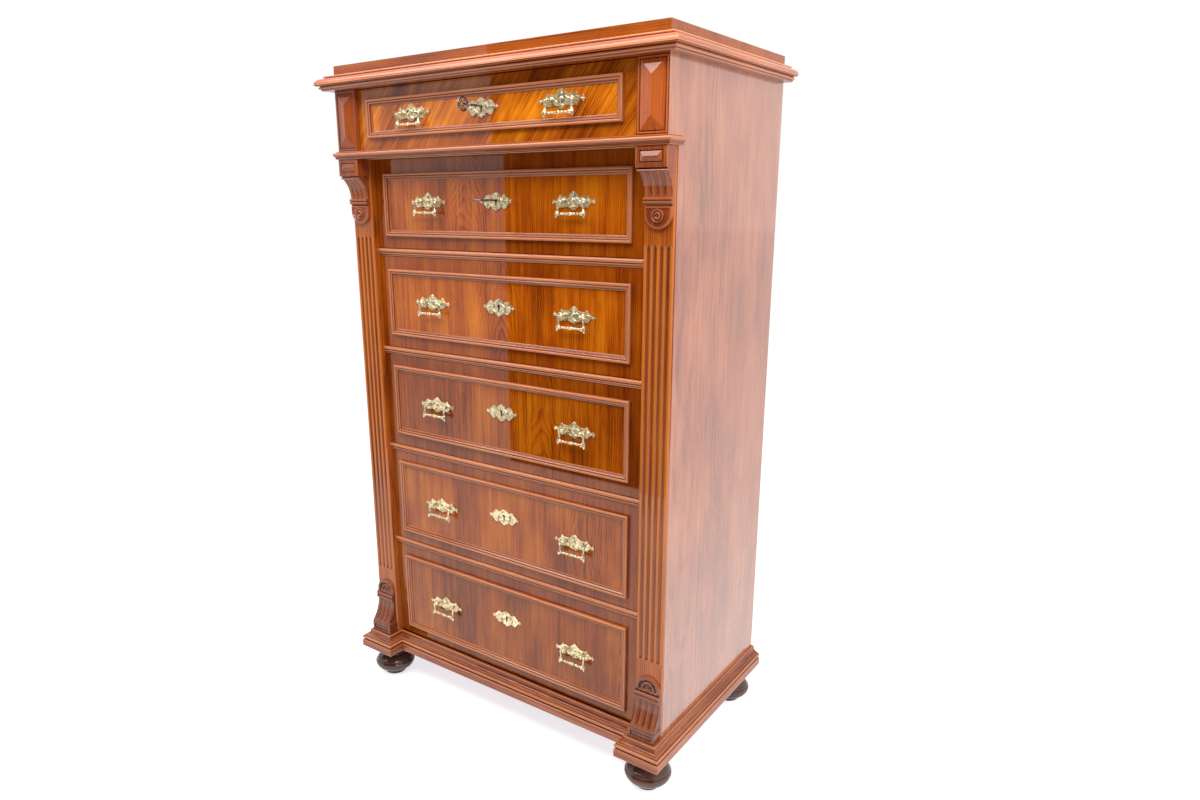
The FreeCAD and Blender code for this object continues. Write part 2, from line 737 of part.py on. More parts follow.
def lock_case(k, hole_z):
    """Hollow case on the back of the front: walls, a back plate and the keyhole."""
    y0 = face_y[k] + front_thickness
    y1 = y0 + case_depth
    x = case_width / 2.0
    z0 = hole_z - case_below
    z1 = hole_z + case_above
    bolt_y0, bolt_y1 = bolt_span(k)
    slot = bolt_width / 2.0 + bolt_clearance
    yb = y1 - case_wall
    return [box(-x, x, yb, y1, z0, z1),
            box(-x, -x + case_wall, y0, yb, z0, z1),
            box(x - case_wall, x, y0, yb, z0, z1),
            box(-x + case_wall, x - case_wall, y0, yb, z0, z0 + case_wall),
            box(-x + case_wall, -slot, y0, yb, z1 - case_wall, z1),
            box(slot, x - case_wall, y0, yb, z1 - case_wall, z1),
            box(-slot, slot, y0, bolt_y0 - bolt_clearance, z1 - case_wall, z1)]


def key_height(k):
    return opening_mid[k] + keyhole_lifts[k]


def post_height(k):
    return opening_mid[k] + post_lifts[k]


for k, (z0, z1) in enumerate(opening_z):
    name = "drawer_%d" % (k + 1)
    face = face_y[k]
    rear = face + front_thickness
    hole_z = key_height(k)
    board = box(-front_half, front_half, face, rear, z0 + drawer_gap, z1 - drawer_gap)
    board = board.cut(keyhole(face - 1.0, rear + 1.0, hole_z, 0.0))
    nodes[name + "_front"] = [board] + frame_mouldings(face, opening_mid[k] + frame_lifts[k],
                                                       z1 - z0 - 2.0 * frame_end_margins[k])
    low = z0 + drawer_gap
    high = z1 - box_top_drop
    floor_z = low + box_bottom_lift
    side = box(box_half - box_side, box_half, rear, box_back_y, low, high)
    nodes[name + "_box"] = [side] + mirrored([side]) + [
        box(-box_half + box_side, box_half - box_side, box_back_y - box_side, box_back_y,
            low, high),
        box(-box_half + box_side, box_half - box_side, rear, box_back_y - box_side,
            floor_z, floor_z + box_bottom)]
    key_plate = front_prism(plate_outline(0.0, hole_z - key_plate_drop, key_plate_half_length,
                                          key_plate_half_height, key_plate_half_height,
                                          key_plate_edge, key_plate_edge[-2:0:-1]),
                            face - plate_thickness, face)
    nodes[name + "_hardware"] = (handle_fixed(-handle_x, post_height(k), face)
                                 + handle_fixed(handle_x, post_height(k), face)
                                 + [key_plate.cut(keyhole(face - 2.0 * plate_thickness,
                                                          face + 1.0, hole_z, 0.0))]
                                 + lock_case(k, hole_z))
    nodes[name + "_bail_left"] = bail(-handle_x, post_height(k), face)
    nodes[name + "_bail_right"] = bail(handle_x, post_height(k), face)

# ---- keys and lock bolts of the two upper drawers ----
def key(k, turn):
    """Key in the lock of drawer k + 1, turned by so many degrees about its shank."""
    hole_z = key_height(k)
    face = face_y[k]
    inside = face + front_thickness + bit_clearance + key_bit_length
    tip = face - key_reach
    bow_y = tip + key_bow_length / 2.0
    collar_y = tip + key_bow_length - key_collar_overlap
    shank = rod((0.0, inside, hole_z), (0.0, collar_y, hole_z), key_shank_radius)
    bit = box(-key_bit_thickness / 2.0, key_bit_thickness / 2.0, inside - key_bit_length,
              inside, hole_z - key_bit_drop, hole_z)
    collar = rod((0.0, collar_y, hole_z), (0.0, collar_y + key_collar_length, hole_z),
                 key_collar_radius)
    rims = []
    for wall in (0.0, key_bow_wall):
        rim = Part.Ellipse(V(0, 0, 0), key_bow_length / 2.0 - wall,
                           key_bow_half_width - wall).toShape()
        rims.append(Part.Face(Part.Wire(rim)).extrude(V(0, 0, key_bow_thickness)))
    bow = rims[0].cut(rims[1])
    bow.translate(V(0, 0, -key_bow_thickness / 2.0))
    bow.rotate(V(0, 0, 0), V(0, 0, 1), 90)
    bow.rotate(V(0, 0, 0), V(0, 1, 0), 90)
    bow.translate(V(0, bow_y, hole_z))
    whole = joined(shank, bit, collar, bow)
    whole.rotate(V(0, 0, hole_z), V(0, 1, 0), turn)
    return whole


def bolt(k):
    y0, y1 = bolt_span(k)
    top = opening_z[k][1] - drawer_gap - bolt_recess
    return box(-bolt_width / 2.0, bolt_width / 2.0, y0, y1, key_height(k) - bolt_tail, top)


nodes["key_1"] = [key(0, 0)]
nodes["key_2"] = [key(1, 90)]
nodes["lock_bolt_1"] = [bolt(0)]
nodes["lock_bolt_2"] = [bolt(1)]

# ---- the whole chest moves to stand on its origin ----
front_most = min(face_y[0] - key_reach, frieze_front_y - cornice_projection,
                 pedestal_front_y - plinth_projection)
shift_y = -(front_most + plinth_back_y) / 2.0
os.makedirs("parts", exist_ok=True)
for name, solids in nodes.items():
    node = Part.makeCompound([s.copy() for solid in solids for s in solid.Solids])
    node.translate(V(0, shift_y, 0))
    nodes[name] = node
    node.exportStep("parts/%s.step" % name)
print(len(nodes), "nodes, moved by", round(shift_y, 3), "to an overall height of", slab_top)
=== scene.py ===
import bmesh
import bpy
import json
import math
from bmesh.types import BMEdge, BMFace, BMVert
from mathutils import Matrix, Vector


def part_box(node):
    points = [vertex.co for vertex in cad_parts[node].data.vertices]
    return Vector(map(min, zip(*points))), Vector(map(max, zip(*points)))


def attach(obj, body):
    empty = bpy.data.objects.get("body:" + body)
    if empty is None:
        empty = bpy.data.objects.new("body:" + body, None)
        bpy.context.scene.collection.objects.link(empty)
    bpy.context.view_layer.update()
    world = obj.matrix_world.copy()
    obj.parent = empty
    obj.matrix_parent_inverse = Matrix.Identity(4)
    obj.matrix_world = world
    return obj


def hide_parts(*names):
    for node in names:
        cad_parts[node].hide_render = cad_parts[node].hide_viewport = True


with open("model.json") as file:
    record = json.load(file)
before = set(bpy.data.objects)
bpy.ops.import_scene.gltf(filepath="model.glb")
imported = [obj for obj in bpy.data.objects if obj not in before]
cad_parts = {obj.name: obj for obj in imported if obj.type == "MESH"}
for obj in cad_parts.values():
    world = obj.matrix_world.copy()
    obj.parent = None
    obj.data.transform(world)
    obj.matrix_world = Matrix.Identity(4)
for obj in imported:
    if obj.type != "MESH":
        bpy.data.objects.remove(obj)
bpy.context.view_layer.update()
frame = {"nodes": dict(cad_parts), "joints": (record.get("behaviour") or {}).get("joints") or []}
MM = 0.001

# ---- view ----
# Where the onlooker stands: in front of the chest and to its right, at about
# the height of the top drawer, turned left and a little down.
EYE = Vector((1.22033, -1.61753, 1.29421))
LOOK_LEFT = 0.6270
LOOK_UP = -0.2597
TILT = -0.0059

scene = bpy.context.scene
scene.view_settings.view_transform = "Standard"
lens = bpy.data.cameras.new("lens")
lens.sensor_width = 36.0
lens.lens = 24.956
lens.shift_x = 0.0294
lens.shift_y = 0.0164
lens.clip_start = 0.05
camera = bpy.data.objects.new("camera", lens)
scene.collection.objects.link(camera)
forward = Vector((-math.sin(LOOK_LEFT) * math.cos(LOOK_UP),
                  math.cos(LOOK_LEFT) * math.cos(LOOK_UP), math.sin(LOOK_UP)))
right = Vector((math.cos(LOOK_LEFT), math.sin(LOOK_LEFT), 0.0))
upward = right.cross(forward)
level = Matrix((right, upward, -forward)).transposed().to_4x4()
camera.matrix_world = Matrix.Translation(EYE) @ level @ Matrix.Rotation(TILT, 4, "Z")
scene.camera = camera


# ---- feet ----
# Four squat bun feet, turned in walnut on a lathe and stained dark, each with
# a spigot glued up into a corner of the plinth.
class Signal:
    """A socket in a material's node tree; arithmetic on it adds Math nodes."""

    def __init__(self, tree, socket=None):
        self.tree = tree
        self.socket = socket

    def node(self, kind, settings=None, inputs=None, out=0):
        """Adds a node: its settings first, then the values or links of its sockets."""
        made = self.tree.nodes.new("ShaderNode" + kind)
        for name, value in (settings or {}).items():
            if name == "stops":
                ramp = made.color_ramp
                while len(ramp.elements) < len(value):
                    ramp.elements.new(0.5)
                for element, (place, colour) in zip(ramp.elements, value):
                    element.position = place
                    element.color = (*colour, 1.0)
            else:
                setattr(made, name, value)
        for name, value in (inputs or {}).items():
            socket = made.inputs[name]
            if isinstance(value, Signal):
                self.tree.links.new(value.socket, socket)
            elif socket.type == "RGBA":
                socket.default_value = (*value, 1.0)
            else:
                socket.default_value = value
        return Signal(self.tree, made.outputs[out])

    def other(self, out):
        """Another output of the same node."""
        return Signal(self.tree, self.socket.node.outputs[out])

    def feeds(self, socket):
        """Links this signal to a socket."""
        self.tree.links.new(self.socket, socket)

    def math(self, operation, first, second=0.0):
        return self.node("Math", {"operation": operation}, {0: first, 1: second})

    def __add__(self, other):
        return self.math("ADD", self, other)

    def __radd__(self, other):
        return self.math("ADD", other, self)

    def __sub__(self, other):
        return self.math("SUBTRACT", self, other)

    def __rsub__(self, other):
        return self.math("SUBTRACT", other, self)

    def __mul__(self, other):
        return self.math("MULTIPLY", self, other)

    def __rmul__(self, other):
        return self.math("MULTIPLY", other, self)

    def __truediv__(self, other):
        return self.math("DIVIDE", self, other)

    def __pow__(self, other):
        return self.math("POWER", self, other)

    def above(self, low, high):
        """0 below low and 1 above high, with a smooth step between them."""
        return self.node("MapRange", {"interpolation_type": "SMOOTHSTEP"},
                         {"Value": self, "From Min": low, "From Max": high})

    def mixed(self, first, second, blend="MIX"):
        """The colour that lies this far from first to second."""
        made = self.node("Mix", {"data_type": "RGBA", "blend_type": blend})
        sockets = made.socket.node.inputs
        for index, value in ((0, self), (6, first), (7, second)):
            if isinstance(value, Signal):
                value.feeds(sockets[index])
            else:
                sockets[index].default_value = (*value, 1.0)
        return made.other(2)


def new_material(name):
    """An empty material, its start signal and its main shader."""
    material = bpy.data.materials.new(name)
    material.use_nodes = True
    tree = material.node_tree
    return material, Signal(tree), tree.nodes["Principled BSDF"]


def tinted(colour, tint):
    return tuple(tint * part for part in colour)


def polished_walnut(name, dark, middle, light, turn=(0.0, 0.0, 0.0), ring=9.0, lean=0.16,
                    heart=(0.1, 0.25), rings=0.5, streaks=0.6, clouds=0.5, wander=0.05,
                    coat=1.0, gloss=0.025, mirror=1.5, sheen=0.0, body=0.45, painted_hollow_shade=1.0,
                    field=None):
    """Walnut: growth rings round a leaning heart, with streaks, clouds and pores.

    turn lays the grain, which runs along Z, another way; ring is the width of a
    growth ring in mm, and heart is where the heart of the log passes. coat,
    gloss and mirror are the French polish over it: how much, how rough and how
    strong a mirror. body and sheen are the roughness and shine of the wood, and
    painted_hollow_shade is how dark the painted shade in its hollows is; its
    ridges get a painted highlight.
    Outside field, which is (half width, middle, half height), it is darker.
    """
    material, start, shader = new_material(name)
    place = start.node("TexCoord", out="Object")
    grain = start.node("Mapping", {"vector_type": "TEXTURE"},
                       {"Vector": place, "Rotation": turn})

    def noise(stretch, detail=2.0, roughness=0.5):
        stretched = start.node("Mapping", {}, {"Vector": grain, "Scale": stretch})
        return start.node("TexNoise", {}, {"Vector": stretched, "Scale": 1.0,
                                           "Detail": detail, "Roughness": roughness})

    drift = noise((3.0, 3.0, 1.3), 3.0, 0.5)
    x = start.node("SeparateXYZ", {}, {"Vector": grain})
    across = x - heart[0]
    deep = x.other(1) + heart[1] + x.other(2) * lean
    ripple = noise((16.0, 16.0, 7.0), 2.0, 0.5)
    radius = ((across * across + deep * deep) ** 0.5 + (drift - 0.5) * (wander * 2.0)
              + (ripple - 0.5) * (wander * 0.4))
    age = radius / (ring * MM)
    phase = age - start.math("FLOOR", age)
    late = phase.above(0.3, 0.8) * (1.0 - phase.above(0.8, 1.0))
    fine = noise((420.0, 420.0, 9.0), 3.0, 0.62)
    band = noise((90.0, 90.0, 2.4), 3.0, 0.55)
    cloud = noise((10.0, 10.0, 4.5), 3.0, 0.55)
    pores = noise((1700.0, 1700.0, 55.0), 1.0, 0.5)
    pore = pores.above(0.64, 0.72)
    depth = (0.5 + (late - 0.35) * (rings * (band * 2.4 - 0.5)) + (fine - 0.5) * (1.5 * streaks)
             + (band - 0.5) * (1.6 * streaks) + (cloud - 0.5) * (2.0 * clouds))
    stops = [(0.05, light), (0.5, middle), (0.95, dark)]
    colour = start.node("ValToRGB", {"stops": stops}, {"Fac": depth})
    painted_light_and_tarnish_mask = start.node("Attribute", {"attribute_name": "hollow"}, out="Fac")
    colour = (pore * 0.5).mixed(colour, tinted(dark, 0.45))
    # painted shade: narrow faces in hollows are darkened towards a deep brown, standing in for the
    # shade that gathers there
    colour = (painted_light_and_tarnish_mask.above(0.0, 0.55) * painted_hollow_shade).mixed(colour, tinted(dark, 0.3))
    # painted highlight: narrow faces on ridges are lightened towards the light colour, standing in
    # for the light they catch
    colour = ((painted_light_and_tarnish_mask * -1.0).above(0.0, 0.6) * 0.6).mixed(colour, light)
    if field:
        x = start.node("SeparateXYZ", {}, {"Vector": place})
        beside = start.math("ABSOLUTE", x) / field[0]
        beyond = start.math("ABSOLUTE", x.other(2) - field[1]) / field[2]
        outside = start.math("MAXIMUM", beside, beyond).above(0.99, 1.0)
        colour = (outside * 0.4).mixed(colour, dark)
    colour.feeds(shader.inputs["Base Color"])
    bump = start.node("Bump", {}, {"Strength": 0.25, "Distance": 0.0002,
                                   "Height": fine * 0.5 - pore * 0.6})
    bump.feeds(shader.inputs["Normal"])
    shader.inputs["Roughness"].default_value = body
    shader.inputs["Specular IOR Level"].default_value = sheen
    shader.inputs["Coat IOR"].default_value = mirror
    shader.inputs["Coat Weight"].default_value = coat
    shader.inputs["Coat Roughness"].default_value = gloss
    return material


def finished(name, shape, finishes, body, sharp=32.0):
    """Makes a bmesh a piece of the chest: it has its finish and rides on a body.

    Narrow faces in a hollow are marked, for the painted shade of the walnut and
    the tarnish of the brass there, and those on a ridge are marked the other way,
    for the painted highlight of the walnut.
    """
    bmesh.ops.remove_doubles(shape, verts=shape.verts, dist=0.000005)
    bmesh.ops.recalc_face_normals(shape, faces=shape.faces)
    hollow = shape.faces.layers.float.new("hollow")
    rounded = []
    for face in shape.faces:
        longest = max(edge.calc_length() for edge in face.edges)
        width = face.calc_area() / max(longest, 0.000001)
        bend = sum(edge.calc_face_angle_signed(0.0) * edge.calc_length() for edge in face.edges)
        near = max(0.0, 1.0 - width / (7.0 * MM))
        face[hollow] = max(-1.0, min(1.0, -bend / max(longest, 0.000001) * near))
        rounded.append(near > 0.0)
    made = bpy.data.meshes.new(name)
    shape.to_mesh(made)
    shape.free()
    for finish in finishes:
        made.materials.append(finish)
    made.set_sharp_from_angle(angle=math.radians(sharp))
    made.polygons.foreach_set("use_smooth", rounded)
    piece = bpy.data.objects.new(name, made)
    scene.collection.objects.link(piece)
    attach(piece, body)
    return piece


def turned(shape, line, place, steps):
    """Turns a line of (radius, height) points on the lathe and sets it at a place."""
    known = set(shape.verts)
    points = [shape.verts.new((r * MM, 0.0, h * MM)) for r, h in line]
    edges = [shape.edges.new(pair) for pair in zip(points, points[1:])]
    bmesh.ops.spin(shape, geom=points + edges, axis=(0.0, 0.0, 1.0), angle=2.0 * math.pi,
                   steps=steps, use_merge=True)
    made = [vert for vert in shape.verts if vert not in known]
    bmesh.ops.transform(shape, matrix=place, verts=made)


FOOT_LINE = [(0.0, 0.0), (26.0, 0.0), (28.5, 1.5), (29.2, 4.5), (28.4, 8.5), (29.2, 10.4),
             (34.0, 12.0), (41.0, 15.2), (47.2, 20.0), (51.6, 26.0), (53.8, 32.0), (53.6, 36.5),
             (52.2, 39.5), (51.0, 40.4), (50.2, 42.0), (49.6, 43.6), (48.0, 46.0), (44.0, 50.0),
             (38.5, 53.6), (33.5, 56.0), (31.0, 58.5), (30.6, 62.0), (32.5, 65.0), (36.0, 67.5),
             (37.6, 70.5), (37.8, 74.0), (38.0, 84.6), (0.0, 84.6)]
foot_walnut = polished_walnut("foot_walnut", (0.03, 0.013, 0.010), (0.085, 0.038, 0.028),
                              (0.15, 0.072, 0.052), ring=4.0, lean=0.4, rings=0.2,
                              streaks=0.3, gloss=0.06)
for corner in ("front_left", "front_right", "back_left", "back_right"):
    node = "foot_" + corner
    low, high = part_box(node)
    middle = (low + high) / 2.0
    shape = bmesh.new()
    turned(shape, FOOT_LINE, Matrix.Translation((middle.x, middle.y, 0.0)), steps=64)
    foot = finished("bun_" + node, shape, [foot_walnut], "carcass", sharp=40.0)
    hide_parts(node)

# ---- plinth ----
# Walnut moulding run on a plane, mitred round the foot of the chest and out
# round the two pedestals, with blocks behind the corners for the feet.
HALF = 450.0
OPENING = 383.0
SEAM = -194.5
BASE = 84.6
PEDESTAL = -36.0
RAIL = 8.4
BACK = 490.0
FRONT_BLOCK = (386.0, 430.0, -16.0, 60.0)
BACK_BLOCK = (350.0, 430.0, 390.0, 468.0)
BACK_BOARD = (-432.0, 432.0, 469.0, 489.0)
BLOCK_HEAD = 115.0
RED = ((0.08, 0.013, 0.005), (0.33, 0.076, 0.024), (0.65, 0.24, 0.10))
GRAIN_X = (0.0, math.radians(90.0), 0.0)
GRAIN_Y = (math.radians(90.0), 0.0, 0.0)
GRAIN_Z = (0.0, 0.0, 0.0)


def moulding_walnut(name, turn, tint=1.0):
    return polished_walnut(name, *(tinted(colour, tint) for colour in RED), turn=turn,
                           ring=4.0, lean=0.05, heart=(0.03, 0.06), rings=0.2, streaks=0.4,
                           clouds=0.3, wander=0.02, gloss=0.08, painted_hollow_shade=0.6)


along_x = moulding_walnut("moulding_along_x", GRAIN_X)
along_y = moulding_walnut("moulding_along_y", GRAIN_Y)


def at(x, y, z):
    """A place given in mm, its y counted from the seam of posts and side panels."""
    return Vector((x * MM, (y + SEAM) * MM, z * MM))


def arc(centre_out, centre_up, radius, first, last, steps):
    """Points of an arc in a moulding's profile, angles in degrees from straight out."""
    turns = [math.radians(first + (last - first) * k / steps) for k in range(steps + 1)]
    return [(centre_out + radius * math.cos(a), centre_up + radius * math.sin(a))
            for a in turns]


def only(kind, parts):
    """The verts, edges or faces among parts."""
    return [part for part in parts if isinstance(part, kind)]


def drawn_through(shape, rings):
    """Draws a ring of points on through the next rings and shuts both ends.

    Gives the faces of each length from one ring to the next.
    """
    corners = [shape.verts.new(point) for point in rings[0]]
    edges = [shape.edges.new(pair) for pair in zip(corners, corners[1:] + corners[:1])]
    bmesh.ops.contextual_create(shape, geom=edges)
    lengths = []
    for here, there in zip(rings, rings[1:]):
        pushed = bmesh.ops.extrude_edge_only(shape, edges=edges)["geom"]
        edges = [edge for edge in only(BMEdge, pushed) if edge.is_boundary]
        for vert in only(BMVert, pushed):
            nearest = min(range(len(here)), key=lambda k: (vert.co - here[k]).length_squared)
            vert.co = there[nearest]
        lengths.append(only(BMFace, pushed))
    bmesh.ops.contextual_create(shape, geom=edges)
    return lengths


def run_moulding(shape, path, profile, base):
    """Runs a closed (out, up) profile along a path in plan, mitred at its corners.

    Runs along Y take the second finish and runs along X the first.
    """
    normals = []
    for (ax, ay), (bx, by) in zip(path, path[1:]):
        length = math.hypot(bx - ax, by - ay)
        normals.append(((by - ay) / length, (ax - bx) / length))
    rings = []
    for (px, py), before, after in zip(path, normals[:1] + normals, normals + normals[-1:]):
        share = 1.0 + before[0] * after[0] + before[1] * after[1]
        mx = (before[0] + after[0]) / share
        my = (before[1] + after[1]) / share
        rings.append([at(px + mx * out, py + my * out, up + base) for out, up in profile])
    for normal, faces in zip(normals, drawn_through(shape, rings)):
        for face in faces:
            face.material_index = 1 if abs(normal[0]) > 0.5 else 0


def squared_timber(shape, x0, x1, y0, y1, z0, z1, ease=0.4):
    """A sawn board or block between limits in mm, its edges eased with a plane."""
    cube = bmesh.ops.create_cube(shape, size=1.0)["verts"]
    bmesh.ops.scale(shape, verts=cube, vec=at(x1, y1, z1) - at(x0, y0, z0))
    bmesh.ops.translate(shape, verts=cube, vec=(at(x0, y0, z0) + at(x1, y1, z1)) / 2.0)
    if ease:
        edges = {edge for vert in cube for edge in vert.link_edges}
        bmesh.ops.bevel(shape, geom=list(edges), offset=ease * MM, segments=2, profile=0.5,
                        affect="EDGES", material=-1)


PLINTH_PROFILE = ([(-18.0, 0.0), (20.8, 0.0), (22.0, 0.6), (22.5, 1.8), (22.5, 18.0)]
                  + arc(20.3, 18.2, 2.2, 0.0, 80.0, 3) + [(18.2, 21.0), (18.0, 22.6)]
                  + arc(18.6, 27.8, 4.0, -78.0, 78.0, 8) + [(16.8, 32.6), (16.6, 34.4)]
                  + arc(16.6, 45.4, 10.8, -92.0, -176.0, 7) + [(5.8, 47.4)]
                  + arc(4.4, 47.6, 1.6, 0.0, 90.0, 3) + [(0.8, 49.4), (-18.0, 49.4)])
plinth_path = [(-HALF, BACK), (-HALF, PEDESTAL), (-OPENING, PEDESTAL), (-OPENING, RAIL),
               (OPENING, RAIL), (OPENING, PEDESTAL), (HALF, PEDESTAL), (HALF, BACK)]
shape = bmesh.new()
run_moulding(shape, plinth_path, PLINTH_PROFILE, BASE)
for side in (-1.0, 1.0):
    for near, far, front, back in (FRONT_BLOCK, BACK_BLOCK):
        inner, outer = sorted((side * near, side * far))
        squared_timber(shape, inner, outer, front, back, BASE, BLOCK_HEAD)
squared_timber(shape, *BACK_BOARD, BASE, BLOCK_HEAD)
plinth = finished("plinth_moulding", shape, [along_x, along_y], "carcass")
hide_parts("plinth_frame")

# ---- side panels, back and inside ----
# Two wide panels veneered in straight-grained walnut over pine, a pine back,
# bottom and drawer runners; glued and pinned, polished only where they show.
side_walnut = polished_walnut("side_walnut", (0.22, 0.055, 0.020), (0.38, 0.105, 0.040),
                              (0.50, 0.17, 0.070), ring=9.0, lean=0.02, heart=(0.6, 0.12),
                              rings=0.25, streaks=0.5, clouds=0.8, wander=0.04, gloss=0.06,
                              mirror=1.9, sheen=0.5, body=0.25)
nodes = frame["nodes"]


def dress(name, finish):
    """Gives a CAD node's object its finish."""
    slots = nodes[name].data.materials
    slots.clear()
    slots.append(finish)


def plain_pine(name, turn):
    return polished_walnut(name, (0.52, 0.27, 0.11), (0.80, 0.51, 0.28), (0.86, 0.62, 0.38),
                           turn=turn, ring=6.0, lean=0.04, heart=(0.15, 0.5), rings=0.4,
                           streaks=0.25, clouds=0.3, wander=0.02, coat=0.0, body=0.6)


pine = plain_pine("pine_along_z", GRAIN_Z)
pine_along_y = plain_pine("pine_along_y", GRAIN_Y)
for node in ("side_panel_left", "side_panel_right"):
    dress(node, side_walnut)
for node in ("back_panel", "bottom_board"):
    dress(node, pine)
dress("drawer_runners", pine_along_y)

# ---- rails between the drawers ----
# A dustboard of pine between each pair of drawers, with a bead, a fillet and a
# small cove of walnut glued along its front edge.
INNER = 428.0
STILE_BACK = 30.0
BACK_INNER = 472.0
STRIP_FRONT = 12.0
STRIP_BACK = 24.0
BOARD_THICK = 18.0
GLUE_LINE = 0.2
RAIL_PROFILE = ([(-12.0, 0.0), (0.4, 0.0), (0.6, 1.6)] + arc(4.0, 1.6, 3.2, 170.0, 100.0, 3)
                + [(3.6, 5.0), (3.6, 7.4), (1.8, 7.8)] + arc(1.4, 12.9, 4.6, -80.0, 82.0, 8)
                + [(0.6, 17.8), (-12.0, 17.8)])


def heights(node):
    """How high a CAD node starts and ends, in mm."""
    low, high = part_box(node)
    return low.z / MM, high.z / MM


for number in range(2, 6):
    node = "divider_%d" % number
    foot_z = heights(node)[0]
    head_z = foot_z + BOARD_THICK
    shape = bmesh.new()
    run_moulding(shape, [(-OPENING, STRIP_FRONT), (OPENING, STRIP_FRONT)], RAIL_PROFILE, foot_z)
    squared_timber(shape, -OPENING, OPENING, STRIP_BACK + GLUE_LINE, STILE_BACK, foot_z, head_z,
                   ease=0.0)
    squared_timber(shape, -INNER, INNER, STILE_BACK, BACK_INNER, foot_z, head_z, ease=0.3)
    for face in shape.faces:
        if face.calc_center_median().y > at(0.0, STRIP_BACK, 0.0).y:
            face.material_index = 2
    rail = finished("rail_%d" % number, shape, [along_x, along_y, pine], "carcass")
    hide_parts(node)
dress("divider_1", pine)

# ---- pilasters ----
# A walnut post at each front corner, glued on before the side panel; its face
# is worked with four hollow flutes that die out in rounded ends.
post_walnut = polished_walnut("post_walnut", (0.12, 0.018, 0.003), (0.42, 0.092, 0.012),
                              (0.58, 0.17, 0.025), ring=5.0, lean=0.03, heart=(0.2, 0.12),
                              rings=0.3, streaks=0.55, clouds=0.35, wander=0.02)
SHAFT = -6.0
FLUTES = 4
FLUTE_FOOT = 315.0
FLUTE_HEAD = 1207.0
FLUTE_SPACING = 14.5
FLUTE_HALF = 5.0
FLUTE_DEPTH = 3.5
FLUTE_END = 9.0
ARRIS = 2.5
QUIRK = 5.0
QUIRK_DEPTH = 3.0
# painted shade: the bottoms of the flutes take this copy of the post walnut, a little darker at
# its dark end and with its own strength of hollow shade, to set how shaded the flutes look
flute_shade_walnut = polished_walnut("flute_shade_walnut", (0.10, 0.018, 0.005), (0.42, 0.092, 0.016),
                                (0.56, 0.17, 0.032), ring=5.0, lean=0.03,
                                heart=(0.2, 0.12), rings=0.2, streaks=0.4, wander=0.02,
                                painted_hollow_shade=0.5)
SIDES = (("left", -1.0), ("right", 1.0))
post_foot, post_head = heights("pilaster_right")
middle = (OPENING + HALF) / 2.0
levels = [(post_foot, 0.0), (FLUTE_FOOT, 0.0)]
for step in range(1, 7):
    swing = math.radians(15.0 * step)
    levels.append((FLUTE_FOOT + FLUTE_END * (1.0 - math.cos(swing)), math.sin(swing)))
levels += [(FLUTE_FOOT + FLUTE_HEAD - z, deep) for z, deep in reversed(levels[1:])]
levels.append((post_head, 0.0))
for side, sign in SIDES:
    rings = []
    for z, deep in levels:
        line = [(OPENING, STILE_BACK), (OPENING, SHAFT + ARRIS), (OPENING + ARRIS, SHAFT)]
        half = FLUTE_HALF * (0.1 + 0.9 * deep)
        for flute in range(FLUTES):
            centre = middle + (flute - (FLUTES - 1) / 2.0) * FLUTE_SPACING
            for share in (step / 5.0 for step in range(-5, 6)):
                line.append((centre + share * half,
                             SHAFT + FLUTE_DEPTH * deep * (1.0 - share * share)))
        line += [(HALF - ARRIS, SHAFT), (HALF, SHAFT + ARRIS), (HALF, -QUIRK / 2.0),
                 (HALF - QUIRK_DEPTH, 0.0), (INNER, 0.0), (INNER, STILE_BACK)]
        rings.append([at(sign * x, y, z) for x, y in line])
    shape = bmesh.new()
    for face in sum(drawn_through(shape, rings), []):
        spot = (face.calc_center_median() - at(0.0, SHAFT, 0.0)) / MM
        fluted = abs(abs(spot.x) - middle) < FLUTES * FLUTE_SPACING / 2.0
        # the flute bottoms take the second finish, the copy with painted shade
        face.material_index = 1 if fluted and 0.25 < spot.y / FLUTE_DEPTH < 1.0 else 0
    post = finished("fluted_pilaster_" + side, shape, [post_walnut, flute_shade_walnut], "carcass")
    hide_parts("pilaster_" + side)

# ---- capitals and bases of the pilasters ----
# Carved walnut blocks glued on the posts: a panelled block, reeds that sweep
# out to it, a beaded band, and a half-round drop or arch beyond the band.
BLOCK = -41.0
CORBEL_OUT = -36.0
CORBEL_IN = -14.0
BAND_LEFT = 387.0
BAND_RIGHT = 448.0
BAND_MIDDLE = (BAND_LEFT + BAND_RIGHT) / 2.0
REEDS = 4
REED_GAP = 0.7
REED_BOLD = 1.25
REED_GROUND = 2.4
LEDGE_LEFT = 385.0
LEDGE_RIGHT = 449.0
PAD_STEPS = [(7.6, 0.0), (0.7, -2.2), (1.0, 0.0), (0.5, 1.6), (9.1, 3.6)]
BASE_STEPS = [(6.6, 0.0), (0.6, -2.4), (1.4, 0.0), (0.6, 1.2)]
DROP_STEPS = [(1.4, 2.0), (2.6, 0.0), (1.2, -1.6)]
DROP_FRONT = -12.0
BAND_TALL = 16.0


def carving_walnut(name, *colours):
    return polished_walnut(name, *colours, ring=4.0, lean=0.05, heart=(0.3, 0.1), rings=0.15,
                           streaks=0.4, clouds=0.4, wander=0.02, gloss=0.06)


capital_walnut = carving_walnut("capital_walnut", (0.07, 0.012, 0.005), (0.27, 0.054, 0.014),
                                (0.45, 0.12, 0.034))
base_walnut = carving_walnut("base_walnut", (0.04, 0.008, 0.004), (0.16, 0.036, 0.014),
                             (0.34, 0.10, 0.040))


def drawn_out(shape, faces, x, y, z):
    """Draws faces out into a solid by x, y, z in mm and gives its far faces."""
    pushed = bmesh.ops.extrude_face_region(shape, geom=faces)["geom"]
    bmesh.ops.translate(shape, verts=only(BMVert, pushed), vec=Vector((x, y, z)) * MM)
    return only(BMFace, pushed)


